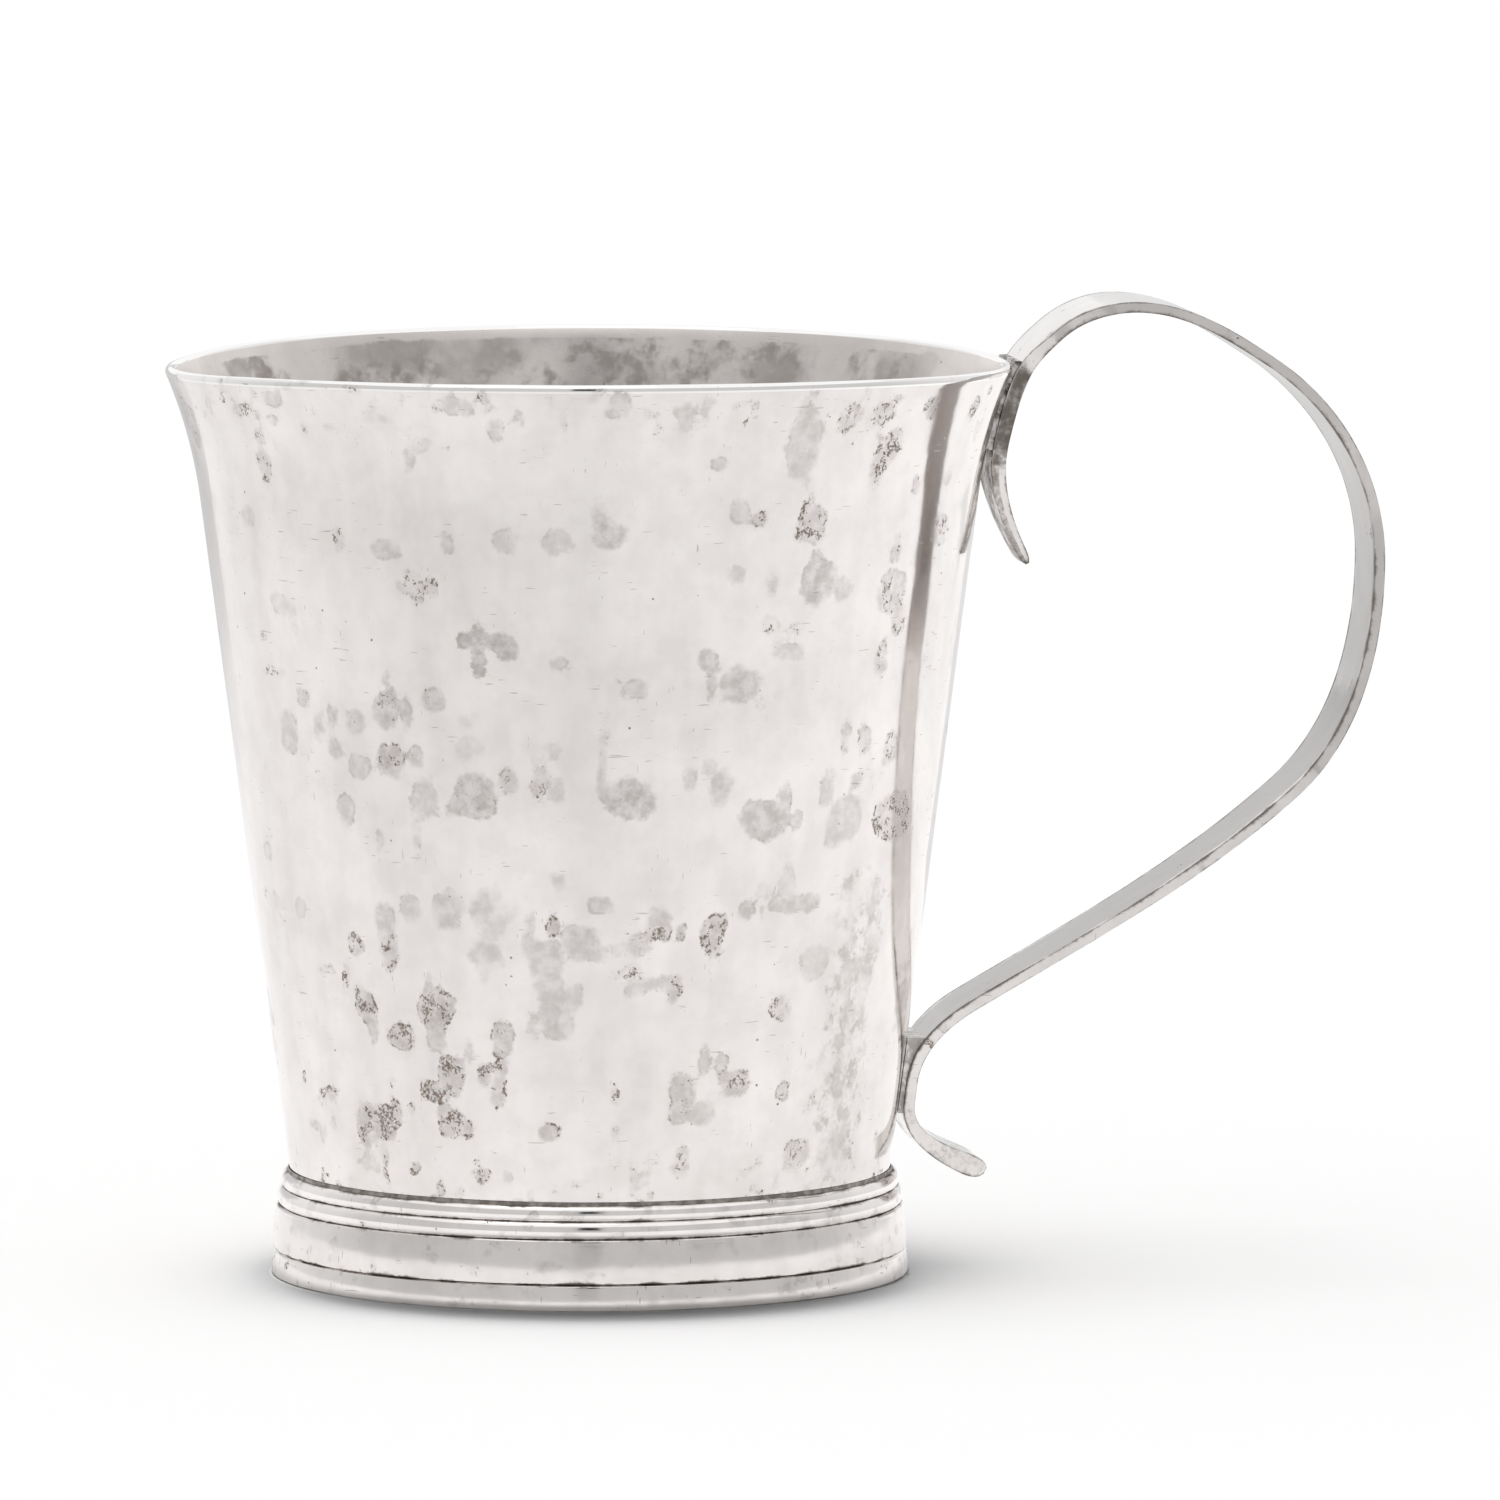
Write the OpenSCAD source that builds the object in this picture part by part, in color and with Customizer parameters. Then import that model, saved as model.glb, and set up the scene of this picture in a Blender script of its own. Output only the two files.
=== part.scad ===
// Silver cup with an everted lip, a reeded foot and one strap handle.
// Millimetres. +Z is up, the origin is on the cup's axis at the table, and the handle is along +X.

/* [Cup] */
// Height from the table to the top of the lip
cup_h = 95; // [80:0.5:120]
// Outside diameter over the lip
rim_d = 87.5; // [76:0.5:100]
// Outside diameter of the wall where it enters the foot
waist_d = 62.3; // [54:0.1:72]
// Thickness of the wall
wall_t = 0.8; // [0.5:0.05:1.2]
// Thickness of the hammered lip
lip_t = 1.3; // [0.9:0.05:2]
// Lean of the wall at the lip, from upright
lip_lean = 23; // [16:0.5:32]
// Radius of the outward curve below the lip
flare_r = 48; // [30:1:70]

/* [Floor] */
// Height of the floor's underside above the table
floor_z = 5.2; // [4.6:0.1:8]
// Thickness of the floor
floor_t = 0.9; // [0.5:0.05:1.6]
// Gap around the floor's edge for the solder to run into
floor_gap = 0.1; // [0.05:0.01:0.2]
// Length that the wall runs on below the floor
wall_return = 1; // [0.4:0.1:2]
// Leg of the solder fillet around the floor
floor_fillet = 0.9; // [0.5:0.1:2]

/* [Foot] */
// Thickness of the solder sleeve between the wall and the foot
foot_film = 0.2; // [0.1:0.05:0.4]
// Height of the upper reed
upper_reed_h = 1.55; // [1:0.05:2.5]
// Ledge from the solder sleeve to the upper reed's grooves
upper_reed_ledge = 0.25; // [0.1:0.05:1]
// Height of the lower reed
lower_reed_h = 1.8; // [1:0.05:3]
// Step from the upper reed's grooves out to the lower reed's
lower_reed_step = 0.4; // [0:0.05:1]
// Swell of each reed out of its grooves
reed_swell = 0.42; // [0.2:0.02:0.5]
// Height of the plain band
band_h = 4.5; // [3:0.1:8]
// Step from the lower reed's grooves out to the band's edges
band_step = 0.6; // [0:0.05:1.5]
// Swell of the plain band between its edges
band_swell = 0.25; // [0.1:0.05:0.6]
// Height of the base wire
base_wire_h = 2.75; // [1.8:0.05:4.5]
// Step from the band's edges out to the base wire
base_wire_step = 0.4; // [0:0.05:1.2]
// Round of the base wire's upper edge
base_wire_round = 0.6; // [0.3:0.05:1]
// Round of the base wire's lower edge
base_wire_ease = 0.25; // [0.1:0.05:0.3]

/* [Handle] */
// Thickness of the strap
strap_t = 1.15; // [0.8:0.05:1.8]
// Bevel along the strap's edges
strap_bevel = 0.2; // [0.1:0.05:0.3]
// Width of the strap at the crest of its loop
crest_w = 16.5; // [12:0.5:22]
// Width of the strap at the bow, where the loop reaches furthest
bow_w = 12.6; // [9:0.1:18]
// Width of the strap at the upper joint
upper_joint_w = 11.2; // [8:0.1:14]
// Width of the strap at the lower joint
lower_joint_w = 10.5; // [7:0.1:14]
// Rise of the crest above the lip
handle_rise = 5.6; // [4:0.1:10]
// Distance of the crest outside the lip
crest_out = 12; // [9:0.1:16]
// Reach of the bow outside the lip
handle_reach = 38.5; // [32:0.5:48]
// Drop of the bow below the lip
bow_drop = 21.5; // [16:0.5:27]
// Drop of the elbow below the bow
elbow_drop = 24.4; // [19:0.1:28]
// Distance of the elbow back from the bow
elbow_in = 9.2; // [6:0.1:12]

/* [Joints and tails] */
// Length of the upper joint, down from the lip
upper_joint_len = 8.4; // [6:0.1:12]
// Solder between the strap and the wall at the upper joint
upper_film = 0.3; // [0.15:0.05:0.6]
// Height of the lower joint's upper end above the foot
lower_joint_rise = 9; // [7:0.1:14]
// Length along which the strap lies on the wall at the lower joint
lower_joint_len = 2; // [1:0.1:5]
// Solder between the strap and the wall at the lower joint
lower_film = 0.1; // [0.1:0.05:0.4]
// Distance that the upper tail kicks out
upper_tail_out = 3.1; // [2:0.1:6]
// Drop of the upper tail below its joint
upper_tail_drop = 13.2; // [9:0.1:18]
// Width of the upper tail's square tip
upper_tip_w = 5; // [3:0.1:9]
// Distance that the lower tail kicks out
lower_tail_out = 7.6; // [5:0.1:10]
// Drop of the lower tail below its joint
lower_tail_drop = 7.2; // [5:0.1:8.5]
// Width of the lower tail before its round tip
lower_tip_w = 9; // [6:0.1:12]
// Thickness of the lower tail's swollen tip
lower_tip_t = 1.6; // [1:0.05:2.2]

/* [Hidden] */
$fn = 96;
fine_steps = 480;
arc_steps = 12;
hairline = 0.02;
silver = [0.80, 0.79, 0.77];
worn_silver = [0.74, 0.72, 0.70];
solder_grey = [0.50, 0.48, 0.46];

// Foot: heights above the table, and radii from the wall outwards
waist_r = waist_d / 2;
band_z = base_wire_h;
lower_reed_z = band_z + band_h;
upper_reed_z = lower_reed_z + lower_reed_h;
foot_h = upper_reed_z + upper_reed_h;
upper_groove_r = waist_r + foot_film + upper_reed_ledge;
lower_groove_r = upper_groove_r + lower_reed_step;
band_edge_r = lower_groove_r + band_step;
base_wire_r = band_edge_r + base_wire_step;

// Lip: the centre of its round edge, and the point where the wall's outside meets that round
lip_half = lip_t / 2;
lip_out = [cos(lip_lean), -sin(lip_lean)];
lip_centre = [rim_d / 2 - lip_half, cup_h - lip_half];
lip_meet = lip_centre + lip_half * lip_out;

// Wall: an arc below the lip, and a straight taper that leaves the waist along the arc's tangent
flare_centre = lip_meet + flare_r * lip_out;
waist_to_flare = flare_centre - [waist_r, foot_h];
taper = atan2(waist_to_flare[0], waist_to_flare[1]) - asin(flare_r / norm(waist_to_flare));
flare_z = flare_centre[1] + flare_r * sin(taper);
wall_z = floor_z - wall_return;
floor_top = floor_z + floor_t;

// Lean and outside radius of the wall at a height
function wall_lean(z) = z < flare_z ? taper : asin((z - flare_centre[1]) / flare_r);
function wall_r(z) =
    z < flare_z ? waist_r + tan(taper) * (z - foot_h) : flare_centre[0] - flare_r * cos(wall_lean(z));

// Inside radius of the straight wall, and of the foot's rings, at a height
function bowl_r(z) = wall_r(z) - wall_t / cos(taper);
function foot_bore_r(z) = wall_r(z) + foot_film;

// Unit vector of a direction, in degrees from +X
function heading(a) = [cos(a), sin(a)];

// Outside of the wall from its lower edge to the lip, the lip's round, and the inside back down
flare_leans = [for (i = [0:arc_steps]) taper + (lip_lean - taper) * i / arc_steps];
function flare_point(lean) = flare_centre - flare_r * [cos(lean), -sin(lean)];
function flare_t(lean) = wall_t + (lip_t - wall_t) * pow((lean - taper) / (lip_lean - taper), 2);
wall_outside = concat([[wall_r(wall_z), wall_z]], [for (lean = flare_leans) flare_point(lean)]);
lip_round = [for (i = [1:arc_steps]) lip_centre + lip_half * heading(180 * i / arc_steps - lip_lean)];
function flare_inside(lean) = flare_point(lean) - flare_t(lean) * [cos(lean), -sin(lean)];
wall_inside = concat(
    [for (i = [arc_steps - 1:-1:0]) flare_inside(flare_leans[i])],
    [[bowl_r(wall_z), wall_z]]
);

// Handle: directions of the strap's middle line where it is free, in degrees from +X
upper_tip_heading = 119;
neck_heading = 41;
shoulder_heading = -34;
lower_tip_heading = -25;

// Angles by which the strap parts from the lip, and bends at the two ends of its straight arm
lip_part = 4;
elbow_turn = 8;
heel_turn = 3;

// Places between two waypoints, as shares of the way in x and in z
neck_share = [0.33, 0.59];
shoulder_share = [0.563, 0.226];
heel_share = [0.165, 0.277];

// Waypoints of the strap's middle line, each [[x, z], heading, width, thickness],
// from the tip of the upper tail, over the loop, to the tip of the lower tail
function aim(from, to) = atan2(to[1] - from[1], to[0] - from[0]);
function between(from, to, share) = [for (i = [0, 1]) from[i] + (to[i] - from[i]) * share[i]];
function seat(z, film) = [wall_r(z), z] + (film + strap_t / 2) * [cos(wall_lean(z)), -sin(wall_lean(z))];
upper_seat_low = cup_h - upper_joint_len;
upper_seat_high = lip_meet[1] - lip_half;
lower_seat_high = foot_h + lower_joint_rise;
lower_seat_low = lower_seat_high - lower_joint_len;
crest = [rim_d / 2 + crest_out, cup_h + handle_rise - strap_t / 2];
neck = between(seat(upper_seat_high, upper_film), crest, neck_share);
bow = [rim_d / 2 + handle_reach - strap_t / 2, cup_h - bow_drop];
shoulder = between(crest, bow, shoulder_share);
elbow = bow - [elbow_in, elbow_drop];
heel = between(seat(lower_seat_high, lower_film), elbow, heel_share);
arm_heading = aim(elbow, heel);
upper_tip = seat(upper_seat_low, upper_film) + [upper_tail_out, -upper_tail_drop];
lower_tip = seat(lower_seat_low, lower_film) + [lower_tail_out, -lower_tail_drop];
waypoints = [
    [upper_tip, upper_tip_heading, upper_tip_w, strap_t],
    [seat(upper_seat_low, upper_film), 90 - wall_lean(upper_seat_low), upper_joint_w, strap_t],
    [seat(upper_seat_high, upper_film), 90 - lip_part - wall_lean(upper_seat_high), upper_joint_w, strap_t],
    [neck, neck_heading, (upper_joint_w + crest_w) / 2, strap_t],
    [crest, 0, crest_w, strap_t],
    [shoulder, shoulder_heading, (crest_w + bow_w) / 2, strap_t],
    [bow, -90, bow_w, strap_t],
    [elbow, arm_heading + elbow_turn, bow_w, strap_t],
    [heel, arm_heading - heel_turn, (bow_w + lower_joint_w) / 2, strap_t],
    [seat(lower_seat_high, lower_film), -90 - taper, lower_joint_w, strap_t],
    [seat(lower_seat_low, lower_film), -90 - taper, lower_joint_w, strap_t],
    [lower_tip, lower_tip_heading, lower_tip_w, lower_tip_t]
];
last_leg = len(waypoints) - 2;

// Round end of the lower tail: where it starts along the last leg, and the span that would close it
tip_round_from = 0.6;
tip_round_span = 0.42;

// One leg between two waypoints: a curve close to an arc, with width and thickness eased along it
function arc_pull(turn) = turn < 0.01 ? 1 / 3 : 2 / 3 * tan(turn / 4) / sin(turn / 2);
function curve(a, b, c, d, t) =
    pow(1 - t, 3) * a + 3 * t * pow(1 - t, 2) * b + 3 * t * t * (1 - t) * c + t * t * t * d;
function ease(a, b, t) = a + (b - a) * t * t * (3 - 2 * t);
function leg_point(from, to, t) =
    let (pull = norm(to[0] - from[0]) * arc_pull(abs(to[1] - from[1])))
    curve(from[0], from[0] + pull * heading(from[1]), to[0] - pull * heading(to[1]), to[0], t);
function tip_round(leg, t) =
    leg < last_leg || t < tip_round_from ? 1 : sqrt(1 - pow((t - tip_round_from) / tip_round_span, 2));
function station(leg, t) =
    let (from = waypoints[leg], to = waypoints[leg + 1])
    [leg_point(from, to, t), ease(from[2], to[2], t) * tip_round(leg, t), ease(from[3], to[3], t)];
function leg_stations(first, last) = concat(
    [for (leg = [first:last]) for (i = [0:arc_steps - 1]) station(leg, i / arc_steps)],
    [station(last, 1)]
);

// Direction of the strap at a station, and the line of one of its two broad faces
function run_at(s, i) = s[min(i + 1, len(s) - 1)][0] - s[max(i - 1, 0)][0];
function square_to(v) = [-v[1], v[0]] / norm(v);
function face_line(s, side) =
    [for (i = [0:len(s) - 1]) s[i][0] + side * s[i][2] / 2 * square_to(run_at(s, i))];
strap = leg_stations(0, last_leg);

// Bevelled section of the strap at a station: eight corners as [offset along the normal, y]
function strap_corners(w, t) =
    let (n = t / 2, y = w / 2, b = strap_bevel)
    [[-n, b - y], [-n, y - b], [b - n, y], [n - b, y], [n, y - b], [n, b - y], [n - b, -y], [b - n, -y]];
corner_count = len(strap_corners(1, 1));
strap_points = [
    for (i = [0:len(strap) - 1])
        let (out = square_to(run_at(strap, i)))
        for (c = strap_corners(strap[i][1], strap[i][2]))
            [strap[i][0][0] + c[0] * out[0], c[1], strap[i][0][1] + c[0] * out[1]]
];
function strap_corner(i, k) = i * corner_count + k % corner_count;
strap_faces = concat(
    [[for (k = [0:corner_count - 1]) k]],
    [
        for (i = [0:len(strap) - 2])
            for (k = [0:corner_count - 1])
                each [
                    [strap_corner(i, k), strap_corner(i + 1, k), strap_corner(i + 1, k + 1)],
                    [strap_corner(i, k), strap_corner(i + 1, k + 1), strap_corner(i, k + 1)]
                ]
    ],
    [[for (k = [corner_count - 1:-1:0]) strap_corner(len(strap) - 1, k)]]
);

// Solder beds: the strap's face that each one lies under, and the heights that it fills
upper_bed_skirt = 1.4;
lower_bed_skirt = 1.2;
lower_bed_fill = 4.6;
bed_depth = 6;
bed_edge = 2 * strap_bevel;
upper_bed_line = face_line(leg_stations(0, 3), 1);
upper_bed_z = [upper_seat_low - upper_bed_skirt, lip_centre[1]];
lower_bed_line = face_line(leg_stations(last_leg - 2, last_leg), -1);
lower_bed_z = [lower_seat_low - lower_bed_skirt, lower_seat_high + lower_bed_fill];

// Ring of the foot: a bore that follows the wall, and a round swell between two grooves
module foot_ring(z, h, groove_r, swell) {
    round_r = (h * h / 4 + swell * swell) / (2 * swell);
    rotate_extrude() {
        polygon([[foot_bore_r(z), z], [groove_r, z], [groove_r, z + h], [foot_bore_r(z + h), z + h]]);
        intersection() {
            translate([groove_r + swell - round_r, z + h / 2]) circle(round_r);
            translate([groove_r, z]) square([2 * swell, h]);
        }
    }
}

// Everything inside the wall's outer surface, which a solder bed is cut back from
module cup_filled() {
    rotate_extrude($fn = fine_steps) polygon(concat([[0, wall_z]], wall_outside, lip_round, [[0, cup_h]]));
}

// Solder that fills the space between the wall and one face of the strap
module solder_bed(line, heights, w) {
    root_x = wall_r(heights[0]) - bed_depth;
    difference() {
        rotate([90, 0, 0]) linear_extrude(w, center = true) intersection() {
            polygon(concat(line, [[root_x, line[len(line) - 1][1]], [root_x, line[0][1]]]));
            translate([root_x, heights[0]]) square([rim_d, heights[1] - heights[0]]);
        }
        cup_filled();
    }
}

module body_wall() {
    color(silver) rotate_extrude() polygon(concat(wall_outside, lip_round, wall_inside));
}

module floor_disc() {
    color(worn_silver) rotate_extrude() polygon([
        [0, floor_z],
        [bowl_r(floor_z) - floor_gap, floor_z],
        [bowl_r(floor_top) - floor_gap, floor_top],
        [0, floor_top]
    ]);
}

module base_wire() {
    shoulder_r = base_wire_r - base_wire_round;
    shoulder_z = base_wire_h - base_wire_round;
    toe_r = base_wire_r - base_wire_ease;
    color(worn_silver) rotate_extrude() {
        polygon([
            [foot_bore_r(0), 0],
            [shoulder_r, 0],
            [shoulder_r, base_wire_h],
            [foot_bore_r(base_wire_h), base_wire_h]
        ]);
        translate([shoulder_r, 0]) square([toe_r - shoulder_r, base_wire_ease]);
        translate([shoulder_r, base_wire_ease]) square([base_wire_round, shoulder_z - base_wire_ease]);
        translate([shoulder_r, shoulder_z]) circle(base_wire_round);
        translate([toe_r, base_wire_ease]) circle(base_wire_ease);
    }
}

module foot_band() {
    color(worn_silver) foot_ring(band_z, band_h, band_edge_r, band_swell);
}

module lower_reed() {
    color(silver) foot_ring(lower_reed_z, lower_reed_h, lower_groove_r, reed_swell);
}

module upper_reed() {
    color(silver) foot_ring(upper_reed_z, upper_reed_h, upper_groove_r, reed_swell);
}

module handle_strap() {
    color(silver) polyhedron(strap_points, strap_faces);
}

module upper_handle_solder() {
    color(solder_grey) solder_bed(upper_bed_line, upper_bed_z, upper_joint_w - 2 * bed_edge);
}

module lower_handle_solder() {
    color(solder_grey) solder_bed(lower_bed_line, lower_bed_z, lower_joint_w - 2 * bed_edge);
}

module foot_solder() {
    color(solder_grey) rotate_extrude() polygon([
        [wall_r(wall_z) + hairline, wall_z],
        [foot_bore_r(wall_z) - hairline, wall_z],
        [foot_bore_r(foot_h) - hairline, foot_h],
        [wall_r(foot_h) + hairline, foot_h]
    ]);
}

module floor_solder() {
    color(solder_grey) rotate_extrude() polygon([
        [bowl_r(floor_top) - floor_fillet, floor_top],
        [bowl_r(floor_top), floor_top],
        [bowl_r(floor_top + floor_fillet), floor_top + floor_fillet]
    ]);
}

body_wall();
floor_disc();
base_wire();
foot_band();
lower_reed();
upper_reed();
handle_strap();
upper_handle_solder();
lower_handle_solder();
foot_solder();
floor_solder();
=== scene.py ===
"""Aged silver cup with an everted lip, a reeded foot and a strap handle, dressed around its frame."""

import logging
import math
import random
from dataclasses import dataclass
from enum import Enum
from typing import Iterable, Optional, Sequence, Union

import bpy
import numpy as np
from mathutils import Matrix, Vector


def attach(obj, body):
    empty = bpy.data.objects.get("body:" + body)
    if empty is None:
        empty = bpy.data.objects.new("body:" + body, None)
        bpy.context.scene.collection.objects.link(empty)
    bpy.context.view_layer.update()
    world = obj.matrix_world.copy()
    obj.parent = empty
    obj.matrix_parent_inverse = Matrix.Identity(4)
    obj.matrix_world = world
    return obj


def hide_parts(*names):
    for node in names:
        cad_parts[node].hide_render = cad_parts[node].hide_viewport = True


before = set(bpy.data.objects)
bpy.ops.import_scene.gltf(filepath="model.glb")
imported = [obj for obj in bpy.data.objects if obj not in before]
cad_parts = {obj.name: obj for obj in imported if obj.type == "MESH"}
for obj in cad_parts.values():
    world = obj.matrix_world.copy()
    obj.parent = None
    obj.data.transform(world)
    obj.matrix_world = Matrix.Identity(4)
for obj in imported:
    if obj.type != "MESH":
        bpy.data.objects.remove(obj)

LOG = logging.getLogger("cup")
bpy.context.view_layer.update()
# One millimetre in metres
MM = 0.001
# Direction of the cup's front about its axis, in degrees from the handle
FRONT = -97.3
Point = tuple[float, float]
Station = tuple[float, float, float]
Colour = tuple[float, float, float]
Finish = bpy.types.Material
Socket = bpy.types.NodeSocket
Source = Union[float, Socket]


class Slot(Enum):
    """Material slots of the record."""

    SILVER = "aged_silver"
    SOLDER = "silver_solder"


@dataclass(frozen=True)
class Stain:
    """One stain on a surface: its place, its half sizes, how grey it is and how pitted."""

    u: float
    v: float
    half_u: float
    half_v: float
    depth: float
    pits: float = 0.0


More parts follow.
